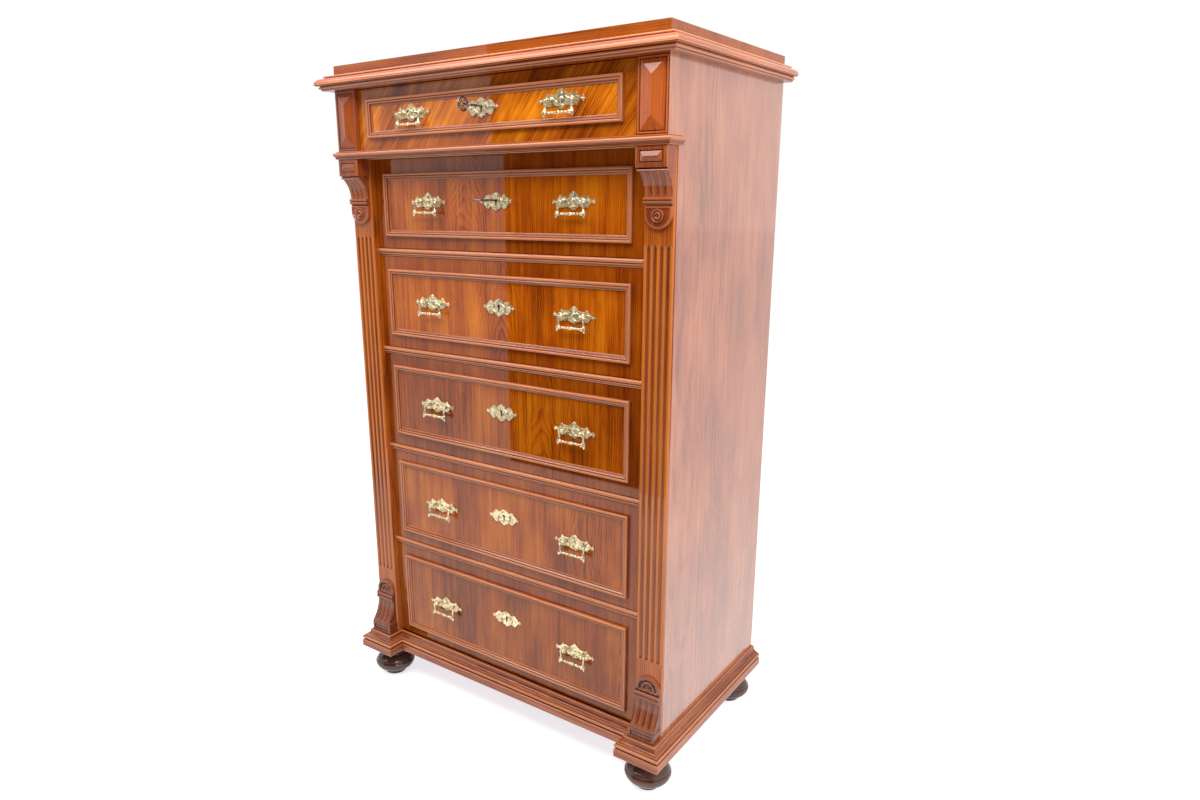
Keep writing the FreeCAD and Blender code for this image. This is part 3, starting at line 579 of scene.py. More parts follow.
def sawn_plate(shape, outline, back, front):
    """A plate with an (x, z) outline, as thick as back to front; gives its front face."""
    face = shape.faces.new([shape.verts.new(at(x, back, z)) for x, z in outline])
    face.normal_update()
    if face.normal.y > 0.0:
        face.normal_flip()
    shown = drawn_out(shape, [face], 0.0, front - back, 0.0)[0]
    shown.normal_update()
    return shown


def stepped(shape, face, steps, even=True):
    """Works a face inwards in a row of (inwards, forwards) steps."""
    for inwards, forwards in steps:
        bmesh.ops.inset_individual(shape, faces=[face], thickness=inwards * MM,
                                   depth=forwards * MM, use_even_offset=even)


def panelled_block(shape, x0, x1, y0, y1, z0, z1, steps):
    """A block with a panel worked in its front by (inwards, forwards) steps."""
    squared_timber(shape, x0, x1, y0, y1, z0, z1, ease=0.5)
    middle = at((x0 + x1) / 2.0, y0, (z0 + z1) / 2.0)
    front = min(shape.faces, key=lambda face: (face.calc_center_median() - middle).length)
    stepped(shape, front, steps)


def side_cut(shape, outline, x0, x1):
    """A solid sawn to a (y, z) outline and as wide as x0 to x1."""
    corners = [shape.verts.new(at(x0, y, z)) for y, z in outline]
    drawn_out(shape, [shape.faces.new(corners)], x1 - x0, 0.0, 0.0)


def reeded_sweep(shape, z_small, z_large):
    """Reeds side by side that sweep out from the post towards z_large."""
    rise = abs(z_large - z_small)
    out = CORBEL_IN - CORBEL_OUT
    radius = (rise ** 2 + out ** 2) / (2.0 * out)
    turn = math.asin(rise / radius)
    sign = 1.0 if z_large > z_small else -1.0
    axis_y = CORBEL_IN - radius
    ground = radius + REED_GROUND
    steps = 12
    curve = [(axis_y + ground * math.cos(turn * k / steps),
              z_small + sign * ground * math.sin(turn * k / steps)) for k in range(steps)]
    curve = [point for point in curve if (z_large - point[1]) * sign > 0.5]
    curve.append((axis_y + math.sqrt(ground ** 2 - rise ** 2), z_large))
    side_cut(shape, curve + [(SHAFT, z_large), (SHAFT, z_small)], BAND_LEFT, BAND_RIGHT)
    width = (BAND_RIGHT - BAND_LEFT) / REEDS
    half = width / 2.0 - REED_GAP
    for k in range(REEDS):
        ring = bmesh.ops.create_circle(shape, cap_ends=True, segments=16,
                                       radius=half * MM)["verts"]
        bmesh.ops.scale(shape, verts=ring, vec=(1.0, REED_BOLD, 1.0))
        start = at(BAND_LEFT + (k + 0.5) * width, CORBEL_IN + half * REED_BOLD, z_small)
        bmesh.ops.translate(shape, verts=ring, vec=start)
        bmesh.ops.spin(shape, geom=[ring[0].link_faces[0]], cent=at(0.0, axis_y, z_small),
                       axis=(1.0, 0.0, 0.0), angle=sign * turn, steps=steps, use_merge=False)


BAND_PROFILE = [(SHAFT, 0.0), (-9.0, 0.0), (-11.0, 0.8), (-12.4, 2.4), (-12.8, 3.6),
                (-14.2, 3.9), (-16.4, 4.9), (-17.4, 6.6), (-17.2, 8.4), (-15.8, 9.6),
                (-14.6, 9.9), (-14.6, 10.5), (-16.0, 10.9), (-17.4, 11.9), (-18.0, 13.4),
                (-17.5, 14.9), (-16.2, 15.8), (-14.4, 16.0), (SHAFT, 16.0)]


def beaded_band(shape, z_far, z_near):
    """The bar of two beads; z_near is its edge on the side of the reeds."""
    tall = (z_near - z_far) / BAND_TALL
    side_cut(shape, [(y, z_far + up * tall) for y, up in BAND_PROFILE], BAND_LEFT, BAND_RIGHT)


def arched(shape, z_flat, z_turn, line):
    """A worked arch on stilts: a (radius, forwards) line swung over half a turn."""
    foot = [shape.verts.new(at(BAND_MIDDLE + r, y, z_flat))
            for r, y in line + [(0.0, SHAFT), (line[0][0], SHAFT)]]
    stilt = drawn_out(shape, [shape.faces.new(foot)], 0.0, 0.0, z_turn - z_flat)
    swung = bmesh.ops.spin(shape, geom=stilt, cent=at(BAND_MIDDLE, 0.0, z_turn),
                           axis=(0.0, 1.0, 0.0), angle=-math.pi, steps=32, use_merge=False)
    drawn_out(shape, only(BMFace, swung["geom_last"]), 0.0, 0.0, z_flat - z_turn)


def facing(x, y, z):
    """Lays a piece off the lathe at a place, its axis pointing out of the front."""
    return Matrix.Translation(at(x, y, z)) @ Matrix.Rotation(math.radians(90.0), 4, "X")


FILLET_LINE = [(SHAFT, 0.0), (-35.6, 0.0), (-37.2, 0.8), (-37.8, 2.2), (-37.2, 3.6),
               (-34.0, 4.2), (-34.0, 5.0), (-38.0, 6.9), (-38.6, 7.5), (SHAFT, 7.5)]
ARCH_LINE = [(30.4, -9.6), (29.8, -11.6), (28.2, -13.0), (25.8, -13.4), (23.4, -12.6),
             (22.0, -10.8), (21.4, -8.6), (19.0, -8.2), (17.8, -8.8), (16.8, -10.6),
             (15.0, -11.8), (12.6, -11.4), (11.0, -9.8), (10.2, -8.4), (8.4, -8.2),
             (7.4, -9.6), (5.4, -11.6), (2.8, -12.6), (0.0, -12.8)]
BUTTON_LINE = [(13.0, 0.0), (13.0, 2.4), (12.2, 3.8), (10.8, 4.2), (9.8, 3.4), (9.2, 2.2),
               (8.6, 2.0), (8.0, 2.8), (7.4, 4.4), (6.2, 5.4), (4.9, 5.0), (3.8, 3.6),
               (2.6, 3.0), (1.4, 3.4), (0.0, 3.7)]
cap_top = heights("capital_right")[1]
block_foot = cap_top - 38.5
fillet_foot = block_foot - FILLET_LINE[-1][1]
reed_foot = fillet_foot - 46.0
band_foot = reed_foot - BAND_TALL
drop_foot = band_foot - 43.0
button_z = band_foot - 18.0
drop_radius = (BAND_RIGHT - BAND_LEFT) / 2.0 - 0.5
drop_line = ([(BAND_MIDDLE + drop_radius, band_foot)]
             + arc(BAND_MIDDLE, drop_foot + drop_radius, drop_radius, 0.0, -180.0, 32)
             + [(BAND_MIDDLE - drop_radius, band_foot)])
base_foot = heights("pilaster_base_right")[0]
base_top = base_foot + 26.0
ledge_top = base_top + 6.0
reed_top = ledge_top + 58.0
bar_top = reed_top + 23.0
arch_top = bar_top + 34.0
for side, sign in SIDES:
    shape = bmesh.new()
    panelled_block(shape, OPENING, HALF, BLOCK, SHAFT, block_foot, cap_top, PAD_STEPS)
    side_cut(shape, [(y, fillet_foot + up) for y, up in FILLET_LINE], LEDGE_LEFT, LEDGE_RIGHT)
    reeded_sweep(shape, reed_foot, fillet_foot)
    beaded_band(shape, band_foot, reed_foot)
    stepped(shape, sawn_plate(shape, drop_line, SHAFT, DROP_FRONT), DROP_STEPS)
    turned(shape, BUTTON_LINE, facing(BAND_MIDDLE, DROP_FRONT - GLUE_LINE, button_z), steps=40)
    bmesh.ops.scale(shape, verts=shape.verts, vec=(sign, 1.0, 1.0))
    piece = finished("carved_capital_" + side, shape, [capital_walnut], "carcass")
    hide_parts("capital_" + side)

    shape = bmesh.new()
    panelled_block(shape, OPENING, HALF, CORBEL_OUT, SHAFT, base_foot, base_top, BASE_STEPS)
    squared_timber(shape, LEDGE_LEFT, LEDGE_RIGHT, CORBEL_OUT + 1.0, SHAFT, base_top, ledge_top,
                   ease=1.2)
    reeded_sweep(shape, reed_top, ledge_top)
    beaded_band(shape, bar_top, reed_top)
    arched(shape, bar_top, arch_top - ARCH_LINE[0][0], ARCH_LINE)
    bmesh.ops.scale(shape, verts=shape.verts, vec=(sign, 1.0, 1.0))
    piece = finished("carved_base_" + side, shape, [base_walnut], "carcass")
    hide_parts("pilaster_base_" + side)

# ---- mid moulding ----
# A walnut nosing glued on under the top drawer, mitred round the frieze blocks
# and stopped short on the side panels.
FRIEZE = -37.5
MID_BACK = 10.0
MID_DEEP = 22.0
mid_foot = heights("mid_moulding")[0]
MID_PROFILE = ([(6.0, 0.0), (6.4, 0.8), (6.4, 4.6), (7.4, 5.2), (7.6, 6.0)]
               + arc(6.9, 10.6, 4.1, -72.0, 80.0, 8) + [(6.0, 14.9), (5.2, 15.6)]
               + arc(2.6, 16.0, 1.6, -10.0, 90.0, 3) + [(0.8, 18.0), (0.0, 18.0), (0.0, 0.0)])
mid_path = [(-HALF, MID_BACK), (-HALF, FRIEZE), (HALF, FRIEZE), (HALF, MID_BACK)]
shape = bmesh.new()
run_moulding(shape, mid_path, MID_PROFILE, mid_foot)
squared_timber(shape, -INNER, INNER, FRIEZE, FRIEZE + MID_DEEP, mid_foot,
               mid_foot + BOARD_THICK, ease=0.0)
nosing = finished("mid_nosing", shape, [along_x, along_y], "carcass")
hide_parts("mid_moulding")

# ---- frieze blocks ----
# Two walnut blocks glued on beside the top drawer, each worked with a long
# hipped panel inside a narrow raised border.
PANEL_STEPS = [(1.6, 0.0), (0.8, 0.9), (2.2, 0.0), (0.9, -2.4), (1.2, 0.0), (0.6, 1.2),
               (25.2, 6.6)]


def block_walnut(name, *colours):
    return polished_walnut(name, *colours, ring=5.0, lean=0.04, heart=(0.25, 0.1), rings=0.3,
                           streaks=0.5, clouds=0.4, wander=0.02)


# painted shade: the left block takes a darker copy of the same block walnut, standing in for the
# shade it stands in
block_finishes = {
    "left": block_walnut("shaded_block_walnut", (0.09, 0.015, 0.006), (0.33, 0.066, 0.018),
                         (0.43, 0.105, 0.028)),
    "right": block_walnut("block_walnut", (0.13, 0.020, 0.006), (0.44, 0.088, 0.018),
                          (0.56, 0.14, 0.030))}
for side, sign in SIDES:
    node = "frieze_block_" + side
    foot_z, head_z = heights(node)
    inner, outer = sorted((sign * (OPENING - 1.0), sign * (HALF - 0.4)))
    shape = bmesh.new()
    panelled_block(shape, inner, outer, FRIEZE, 0.0, foot_z, head_z, PANEL_STEPS)
    piece = finished("panelled_" + node, shape, [block_finishes[side]], "carcass")
    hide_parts(node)

# ---- cornice and top ----
# A deep walnut cornice mitred round the front and sides under the top board,
# whose edges are veneered with the grain running along them.
CORNICE_BACK = 484.0
# painted light: the cornice takes a lighter copy of the moulding walnut, standing in for the
# stronger light that falls on it high up
CORNICE_LIGHT_TINT = 1.3
CORNICE_PROFILE = ([(0.0, 0.0), (20.0, 0.0), (20.6, 0.8)] + arc(25.6, 0.6, 4.6, 178.0, 110.0, 4)
                   + arc(23.6, 6.4, 2.3, -70.0, 75.0, 5)
                   + [(23.2, 8.9), (23.4, 10.6), (30.8, 10.8), (31.6, 11.4), (31.7, 12.4)]
                   + arc(20.0, 12.4, 14.0, 2.0, 68.0, 10)
                   + [(24.0, 26.2), (15.0, 26.8), (14.6, 27.4), (14.6, 28.6)]
                   + arc(15.2, 30.9, 2.3, -85.0, 90.0, 6) + [(0.0, 33.5)])
cornice_path = [(-HALF, CORNICE_BACK), (-HALF, FRIEZE), (HALF, FRIEZE), (HALF, CORNICE_BACK)]
shape = bmesh.new()
run_moulding(shape, cornice_path, CORNICE_PROFILE, heights("cornice_moulding")[0])
# painted light: both cornice finishes are made lighter by this tint
cornice_walnut = [moulding_walnut("cornice_along_x", GRAIN_X, CORNICE_LIGHT_TINT),
                  moulding_walnut("cornice_along_y", GRAIN_Y, CORNICE_LIGHT_TINT)]
cornice = finished("cornice", shape, cornice_walnut, "carcass")
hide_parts("cornice_moulding")
top_walnut = polished_walnut("top_walnut", (0.11, 0.020, 0.004), (0.34, 0.075, 0.010),
                             (0.48, 0.14, 0.022), turn=GRAIN_X, ring=5.0, lean=0.03,
                             heart=(0.1, 0.4), rings=0.25, streaks=0.35, clouds=0.4,
                             wander=0.02)
dress("top_board", top_walnut)

# ---- drawer fronts ----
# Pine fronts faced with matched walnut veneer, its grain upright on five and
# feathered aslant on the top one, with a mitred frame moulding glued on.
AMBER = ((0.15, 0.022, 0.001), (0.42, 0.080, 0.002), (0.62, 0.17, 0.004))
FEATHERED = ((0.14, 0.022, 0.001), (0.57, 0.125, 0.004), (0.92, 0.30, 0.011))
FRONT_HALF = 381.8
FRONT_THICK = 20.0
FRAME_HALF = 350.0
HOLE_RADIUS = 3.4
HOLE_SLOT = 4.2
HOLE_DROP = 12.0
FRAME_PROFILE = ([(0.0, 0.0), (0.3, 4.8)] + arc(3.4, 5.4, 3.1, 172.0, 35.0, 7)
                 + [(6.2, 6.2), (6.6, 5.2), (7.2, 5.0)] + arc(9.0, 4.6, 1.9, 165.0, 30.0, 4)
                 + [(11.2, 4.6), (12.2, 3.6), (13.6, 3.0), (14.2, 2.9), (14.6, 2.0),
                    (15.3, 1.6), (15.5, 0.0)])
# painted shade: each upright drawer front's veneer is made darker by its own share, most on the
# three lower drawers, standing in for how the light falls off across the front
UPRIGHT_SHADE_TINTS = (0.95, 0.98, 0.80, 0.88, 0.78)
along_z = moulding_walnut("moulding_along_z", GRAIN_Z)


def keyhole_edge(hole_z, top, bottom):
    """The middle line of a half plate from its bottom up round half a keyhole."""
    slot = HOLE_SLOT / 2.0
    first = -math.degrees(math.acos(slot / HOLE_RADIUS))
    return ([(0.0, bottom), (0.0, hole_z - HOLE_DROP), (slot, hole_z - HOLE_DROP)]
            + arc(0.0, hole_z, HOLE_RADIUS, first, 90.0, 8) + [(0.0, top)])


def picture_frame(shape, half_x, mid_z, half_z, face):
    """A mitred frame on the drawer face; its level sides take the second finish."""
    ring = [shape.verts.new(at(w - half_x, face - h, w - half_z)) for w, h in FRAME_PROFILE]
    edges = [shape.edges.new(pair) for pair in zip(ring, ring[1:])]
    made = list(ring)
    for level in (True, False, True, False):
        pushed = bmesh.ops.extrude_edge_only(shape, edges=edges)["geom"]
        moved = only(BMVert, pushed)
        for part in only(BMFace, pushed):
            part.material_index = 1 if level else 2
        edges = [edge for edge in only(BMEdge, pushed) if all(v in moved for v in edge.verts)]
        flip = (-1.0, 1.0, 1.0) if level else (1.0, 1.0, -1.0)
        bmesh.ops.scale(shape, verts=moved, vec=flip)
        made += moved
    bmesh.ops.translate(shape, verts=made, vec=(0.0, 0.0, mid_z * MM))


pivots = {joint["name"]: Vector(joint["pos_m"]) for joint in frame["joints"]
          if "pos_m" in joint}


def pins(bail):
    """The middle of a bail's two pins in mm, its y counted from the seam."""
    x, y, z = pivots[bail + "_hinge"] / MM
    return x, y - SEAM, z


# for each drawer from the top: from its edge to the frame, and how far above the
# middle the frame and the keyhole are
END_MARGINS = (23.8, 29.8, 30.3, 28.8, 23.8, 24.8)
FRAME_LIFTS = (1.0, -2.0, 0.0, 2.0, 0.0, -2.5)
HOLE_LIFTS = (8.0, 8.5, 12.5, 18.5, 18.5, 20.5)
POST_REACH = 12.0
drawers = []
for k in range(6):
    name = "drawer_%d" % (k + 1)
    face = pins(name + "_bail_left")[1] + POST_REACH
    foot_z, head_z = heights(name + "_front")
    mid_z = (foot_z + head_z) / 2.0
    hole_z = mid_z + HOLE_LIFTS[k]
    drawers.append((name, face, hole_z))
    shape = bmesh.new()
    half_face = ([(FRONT_HALF, head_z), (FRONT_HALF, foot_z)]
                 + keyhole_edge(hole_z, head_z, foot_z))
    for side in (-1.0, 1.0):
        outline = [(side * x, z) for x, z in half_face]
        sawn_plate(shape, outline, face + FRONT_THICK, face)
    half_z = (head_z - foot_z) / 2.0 - END_MARGINS[k]
    frame_z = mid_z + FRAME_LIFTS[k]
    picture_frame(shape, FRAME_HALF, frame_z, half_z, face)
    field = (FRAME_HALF * MM, frame_z * MM, half_z * MM)
    if k == 0:
        veneer = polished_walnut("feathered_veneer", *FEATHERED,
                                 turn=(0.0, math.radians(38.0), 0.0), ring=4.5, lean=0.1,
                                 heart=(0.2, 0.3), rings=0.4, streaks=0.75, clouds=1.2,
                                 wander=0.06, field=field)
    else:
        # painted shade: this drawer's copy of the amber veneer is darkened by its share
        shaded_amber = [tinted(colour, UPRIGHT_SHADE_TINTS[k - 1]) for colour in AMBER]
        veneer = polished_walnut("upright_veneer_%d" % k, *shaded_amber, ring=4.0,
                                 lean=0.04 + 0.01 * k, heart=(-0.21 + 0.11 * k, 0.20),
                                 rings=0.35, streaks=0.6, clouds=0.75, wander=0.05, field=field)
    piece = finished(name + "_veneered_front", shape, [veneer, along_x, along_z], name)
    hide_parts(name + "_front")
    dress(name + "_box", pine_along_y)

# ---- drop handles and key plates ----
# Cast and polished brass, chased by hand: each drawer has two back plates with
# posts riveted through them, and a pierced plate pinned over its keyhole.
PLATE_THICK = 2.2
PLATE_HALF = 55.0
PLATE_UP = 22.0
PLATE_DOWN = 16.5
POST_HALF = 25.0
POST_BALL = 5.0
# a plate's right half from its shell below out to the tip and up to the finial,
# as shares of its half length and of its reach
PLATE_LOW = [(0.0, 1.0), (0.07, 0.96), (0.12, 0.82), (0.18, 0.70), (0.25, 0.56), (0.32, 0.58),
             (0.40, 0.66), (0.50, 0.68), (0.57, 0.62), (0.60, 0.74), (0.65, 0.72), (0.68, 0.48),
             (0.76, 0.24), (0.84, 0.14), (0.90, 0.18), (0.93, 0.40), (0.965, 0.14)]
PLATE_TOP = [(1.0, 0.0), (0.965, 0.12), (0.93, 0.34), (0.90, 0.16), (0.84, 0.11), (0.78, 0.17),
             (0.72, 0.34), (0.67, 0.42), (0.64, 0.62), (0.59, 0.66), (0.54, 0.50), (0.40, 0.47),
             (0.24, 0.50), (0.20, 0.64), (0.155, 0.66), (0.14, 0.80), (0.08, 0.82),
             (0.055, 0.93), (0.0, 1.0)]
half_edge = ([(a * PLATE_HALF, -b * PLATE_DOWN) for a, b in PLATE_LOW]
             + [(a * PLATE_HALF, b * PLATE_UP) for a, b in PLATE_TOP])
PLATE_EDGE = half_edge + [(-x, z) for x, z in reversed(half_edge[1:-1])]
KEY_PLATE = [(1.0, 0.0), (0.95, 0.16), (0.90, 0.28), (0.86, 0.10), (0.80, 0.14), (0.76, 0.36),
             (0.68, 0.44), (0.63, 0.66), (0.54, 0.76), (0.43, 0.72), (0.36, 0.56), (0.27, 0.58),
             (0.23, 0.80), (0.12, 0.84), (0.08, 0.96), (0.0, 1.0)]
KEY_PLATE_HALF = 45.0
KEY_PLATE_TALL = 20.0
KEY_PLATE_DROP = 3.0
RIM_STEPS = [(0.3, 0.3), (0.55, 0.0), (0.25, -0.6)]
POST_LINE = [(6.4, 0.0), (6.4, 1.0), (5.4, 1.6), (4.2, 1.9), (3.4, 2.8), (3.2, 5.0), (3.4, 9.8)]
# scrolls as (out, back, up, radius), balls as (out, up, radius, squash) and the
# shell's lobes as (away from its middle, back, radius), all from the plate
POST_SCROLL = [(7.0, -0.2, 3.0, 0.6), (11.0, -0.6, 5.4, 1.4), (14.0, -0.6, 3.6, 1.3),
               (13.0, -0.5, 0.6, 1.1), (10.0, -0.3, 0.4, 0.6)]
SHELL_SCROLL = [(7.0, -0.3, 8.0, 0.6), (11.0, -0.6, 6.8, 1.3), (15.0, -0.5, 3.0, 1.3),
                (13.0, -0.4, -2.6, 1.1), (9.0, -0.3, -4.2, 0.7)]
KEY_SCROLL = [(8.0, -0.2, 9.0, 0.6), (13.0, -0.6, 7.0, 1.3), (18.0, -0.6, 2.0, 1.4),
              (18.0, -0.6, -3.0, 1.4), (13.0, -0.6, -8.0, 1.3), (8.0, -0.2, -10.0, 0.6)]
PLATE_BALLS = [(-49.6, 0.0, 2.2, (1.6, 0.45, 1.0)), (49.6, 0.0, 2.2, (1.6, 0.45, 1.0)),
               (0.0, 1.0, 6.2, (0.85, 0.32, 1.1)), (0.0, 12.2, 3.2, (0.9, 0.5, 1.0)),
               (0.0, 17.6, 2.0, (0.9, 0.5, 1.2))]
KEY_BALLS = [(-41.0, 0.0, 2.2, (1.6, 0.45, 1.0)), (41.0, 0.0, 2.2, (1.6, 0.45, 1.0)),
             (-29.0, 0.0, 3.4, (1.5, 0.4, 1.0)), (29.0, 0.0, 3.4, (1.5, 0.4, 1.0)),
             (0.0, 15.4, 2.4, (1.0, 0.5, 1.1)), (0.0, -15.6, 2.4, (1.0, 0.5, 1.1))]
SHELL_LOBE = [(3.0, -0.2, 0.8), (6.4, -0.5, 1.5), (9.0, -0.3, 1.1)]
SHELL_DROP = 5.0
LOBE_SLANT = math.radians(26.0)


def polished_metal(name, colour, dull, chasing, rough, metallic=1.0):
    """Cast metal, polished on the high places and dull in the low ones."""
    material, start, shader = new_material(name)
    place = start.node("TexCoord", out="Object")
    patina = start.node("TexNoise", {}, {"Vector": place, "Scale": 160.0, "Detail": 3.0})
    stops = [(0.36, dull), (0.58, colour)]
    tone = start.node("ValToRGB", {"stops": stops}, {"Fac": patina})
    painted_light_and_tarnish_mask = start.node("Attribute", {"attribute_name": "hollow"}, out="Fac")
    painted_light_and_tarnish_mask.above(0.0, 0.8).mixed(tone, tinted(dull, 0.3)).feeds(shader.inputs["Base Color"])
    (rough + patina * 0.15).feeds(shader.inputs["Roughness"])
    shader.inputs["Metallic"].default_value = metallic
    cuts = start.node("TexVoronoi", {"feature": "SMOOTH_F1"}, {"Vector": place, "Scale": 420.0})
    start.node("Bump", {}, {"Strength": chasing, "Distance": 0.0006, "Height": cuts}).feeds(
        shader.inputs["Normal"])
    return material


brass = polished_metal("polished_brass", (0.90, 0.78, 0.52), (0.42, 0.33, 0.17),
                       chasing=0.35, rough=0.22, metallic=0.75)
dark_steel = polished_metal("dark_steel", (0.30, 0.28, 0.27), (0.10, 0.09, 0.09),
                            chasing=0.25, rough=0.28)


def drawn_bar(shape, stations, sides, twist=0.0, lobes=0, flute=0.0):
    """A bar drawn through (place in mm, radius) stations, twisted between its lobes."""
    points = [at(*place) for place, radius in stations]
    places = []
    normal = Vector((0.0, 0.0, 1.0))
    if abs((points[1] - points[0]).normalized().z) > 0.9:
        normal = Vector((0.0, 1.0, 0.0))
    for k, (place, radius) in enumerate(stations):
        ahead = points[min(k + 1, len(points) - 1)] - points[max(k - 1, 0)]
        ahead.normalize()
        normal = (normal - ahead * normal.dot(ahead)).normalized()
        turn = Matrix((ahead.cross(normal), normal, -ahead)).transposed().to_4x4()
        size = Matrix.Scale(radius * MM, 4)
        places.append(Matrix.Translation(points[k]) @ turn @ Matrix.Rotation(twist * k, 4, "Z")
                      @ size)
    ring = bmesh.ops.create_circle(shape, cap_ends=True, segments=sides, radius=1.0)["verts"]
    for vert in ring:
        angle = math.atan2(vert.co.y, vert.co.x)
        vert.co *= 1.0 - flute * (0.5 - 0.5 * math.cos(lobes * angle))
    faces = [ring[0].link_faces[0]]
    bmesh.ops.transform(shape, matrix=places[0], verts=ring)
    bmesh.ops.duplicate(shape, geom=faces)
    for before, after in zip(places, places[1:]):
        faces = bmesh.ops.extrude_discrete_faces(shape, faces=faces)["faces"]
        bmesh.ops.transform(shape, matrix=after @ before.inverted(), verts=faces[0].verts)


def scroll(shape, x, y, z, way, line, sides=8):
    """A bar through (out, back, up, radius) stations from a place, out being left or right."""
    drawn_bar(shape, [((x + way * out, y + back, z + up), radius)
                      for out, back, up, radius in line], sides)


def cast_ball(shape, x, y, z, radius, squash=(1.0, 1.0, 1.0)):
    """A ball or a boss, squashed along X, Y and Z."""
    made = bmesh.ops.create_uvsphere(shape, u_segments=18, v_segments=12, radius=radius * MM)
    bmesh.ops.scale(shape, verts=made["verts"], vec=squash)
    bmesh.ops.translate(shape, verts=made["verts"], vec=at(x, y, z))


def handle_plate(shape, x, y, z):
    """Back plate, posts and cast ornament; x, y, z is the middle of the bail's pins."""
    back = y + POST_REACH
    ground = back - PLATE_THICK
    outline = [(x + out, z + up) for out, up in PLATE_EDGE]
    stepped(shape, sawn_plate(shape, outline, back, ground), RIM_STEPS, even=False)
    for way in (-1.0, 1.0):
        post = x + way * POST_HALF
        turned(shape, POST_LINE, facing(post, ground + GLUE_LINE, z), steps=20)
        cast_ball(shape, post, y, z, POST_BALL)
        scroll(shape, post, ground, z, way, POST_SCROLL)
        scroll(shape, x, ground, z, way, SHELL_SCROLL)
    for out, up, radius, squash in PLATE_BALLS:
        cast_ball(shape, x + out, ground, z + up, radius, squash)
    for lobe in range(-2, 3):
        aside = math.sin(LOBE_SLANT * lobe)
        down = math.cos(LOBE_SLANT * lobe)
        scroll(shape, x, ground, z - SHELL_DROP, 1.0,
               [(away * aside, forth, -away * down, radius) for away, forth, radius in SHELL_LOBE])


for name, face, hole_z in drawers:
    shape = bmesh.new()
    for side in ("left", "right"):
        handle_plate(shape, *pins("%s_bail_%s" % (name, side)))
    mid = hole_z - KEY_PLATE_DROP
    ground = face - PLATE_THICK
    half_face = [(a * KEY_PLATE_HALF, mid + b * KEY_PLATE_TALL)
                 for a, b in reversed(KEY_PLATE[:-1])]
    half_face += [(a * KEY_PLATE_HALF, mid - b * KEY_PLATE_TALL) for a, b in KEY_PLATE[1:-1]]
    half_face += keyhole_edge(hole_z, mid + KEY_PLATE_TALL, mid - KEY_PLATE_TALL)
    for side in (-1.0, 1.0):
        sawn_plate(shape, [(side * x, z) for x, z in half_face], face, ground)
        scroll(shape, 0.0, ground, mid, side, KEY_SCROLL)
    for out, up, radius, squash in KEY_BALLS:
        cast_ball(shape, out, ground, mid + up, radius, squash)
    mounts = finished(name + "_brass", shape, [brass], name, sharp=45.0)
    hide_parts(name + "_hardware")

# ---- bails ----
# The swinging part of each handle: one brass casting with pins that turn in
# the posts, bowed arms, pointed corners and a rope-twisted grip.
GRIP_FORWARD = 2.0
GRIP_DROP = 24.0
GRIP_HALF = 27.4
GRIP_TWIST = math.radians(17.0)
# (out, back, up, radius) from the middle of the pins, and from that of the grip
ARM_LINE = [(21.0, 0.0, 0.0, 1.5), (30.4, 0.0, 0.0, 1.5), (31.0, 0.0, 0.0, 3.0),
            (32.4, 0.0, -0.4, 3.4), (33.2, -0.4, -2.2, 3.0), (33.0, -0.8, -6.0, 2.4),
            (31.8, -0.8, -11.0, 2.1), (31.8, -0.8, -16.0, 2.4), (33.0, -1.2, -19.6, 3.6),
            (33.6, -2.0, -24.0, 4.5), (34.4, -2.6, -27.6, 3.2), (35.2, -3.2, -30.4, 1.6),
            (35.6, -3.6, -32.2, 0.5)]
CUFF_LINE = [(33.0, 0.0, 0.0, 3.4), (29.0, 0.0, 0.0, 4.4), (GRIP_HALF, 0.0, 0.0, 4.4),
             (26.6, 0.0, 0.0, 3.0)]
rope = []
for k in range(-24, 25):
    share = k / 24.0
    swell = 2.9 + 1.3 * math.exp(-(share / 0.16) ** 2) - 0.3 * abs(share)
    rope.append((share * GRIP_HALF, swell))
for name, face, hole_z in drawers:
    for side in ("left", "right"):
        bail = "%s_bail_%s" % (name, side)
        x, y, z = pins(bail)
        grip_y = y - GRIP_FORWARD
        grip_z = z - GRIP_DROP
        shape = bmesh.new()
        for way in (-1.0, 1.0):
            scroll(shape, x, y, z, way, ARM_LINE, sides=16)
            scroll(shape, x, grip_y, grip_z, way, CUFF_LINE, sides=16)
        stations = [((x + along, grip_y, grip_z), radius) for along, radius in rope]
        drawn_bar(shape, stations, sides=15, twist=GRIP_TWIST, lobes=3, flute=0.26)
        piece = finished(bail + "_cast", shape, [brass], bail, sharp=50.0)
        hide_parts(bail)

# ---- locks, bolts and keys ----
# An iron lock is let in behind each keyhole. The keys of the two upper drawers
# are in place: a filed bit, a turned barrel and collar, and a pierced oval bow.
KEY_TURNS = (0.0, 90.0)
KEY_REACH = 74.0
KEY_DEEP = 25.75
BIT_HALF = 1.1
BIT_START = 20.8
BIT_END = 25.7
BIT_DROP = 10.0
BOW_LENGTH = 32.0
SPOKE = 1.2
# each plate of a lock case: its sides, its depths behind the drawer's face and
# its heights from the keyhole
LOCK_PLATES = ((-30.0, 30.0, 36.0, 38.0, -20.0, 22.0), (-30.0, -28.0, 20.0, 36.2, -20.0, 22.0),
               (28.0, 30.0, 20.0, 36.2, -20.0, 22.0), (-28.0, 28.0, 20.0, 36.2, -20.0, -18.0),
               (-28.0, -7.5, 20.0, 36.2, 20.0, 22.0), (7.5, 28.0, 20.0, 36.2, 20.0, 22.0))
for name, face, hole_z in drawers:
    shape = bmesh.new()
    for x0, x1, y0, y1, z0, z1 in LOCK_PLATES:
        squared_timber(shape, x0, x1, face + y0, face + y1, hole_z + z0, hole_z + z1)
    finished(name + "_lock_case", shape, [dark_steel], name)

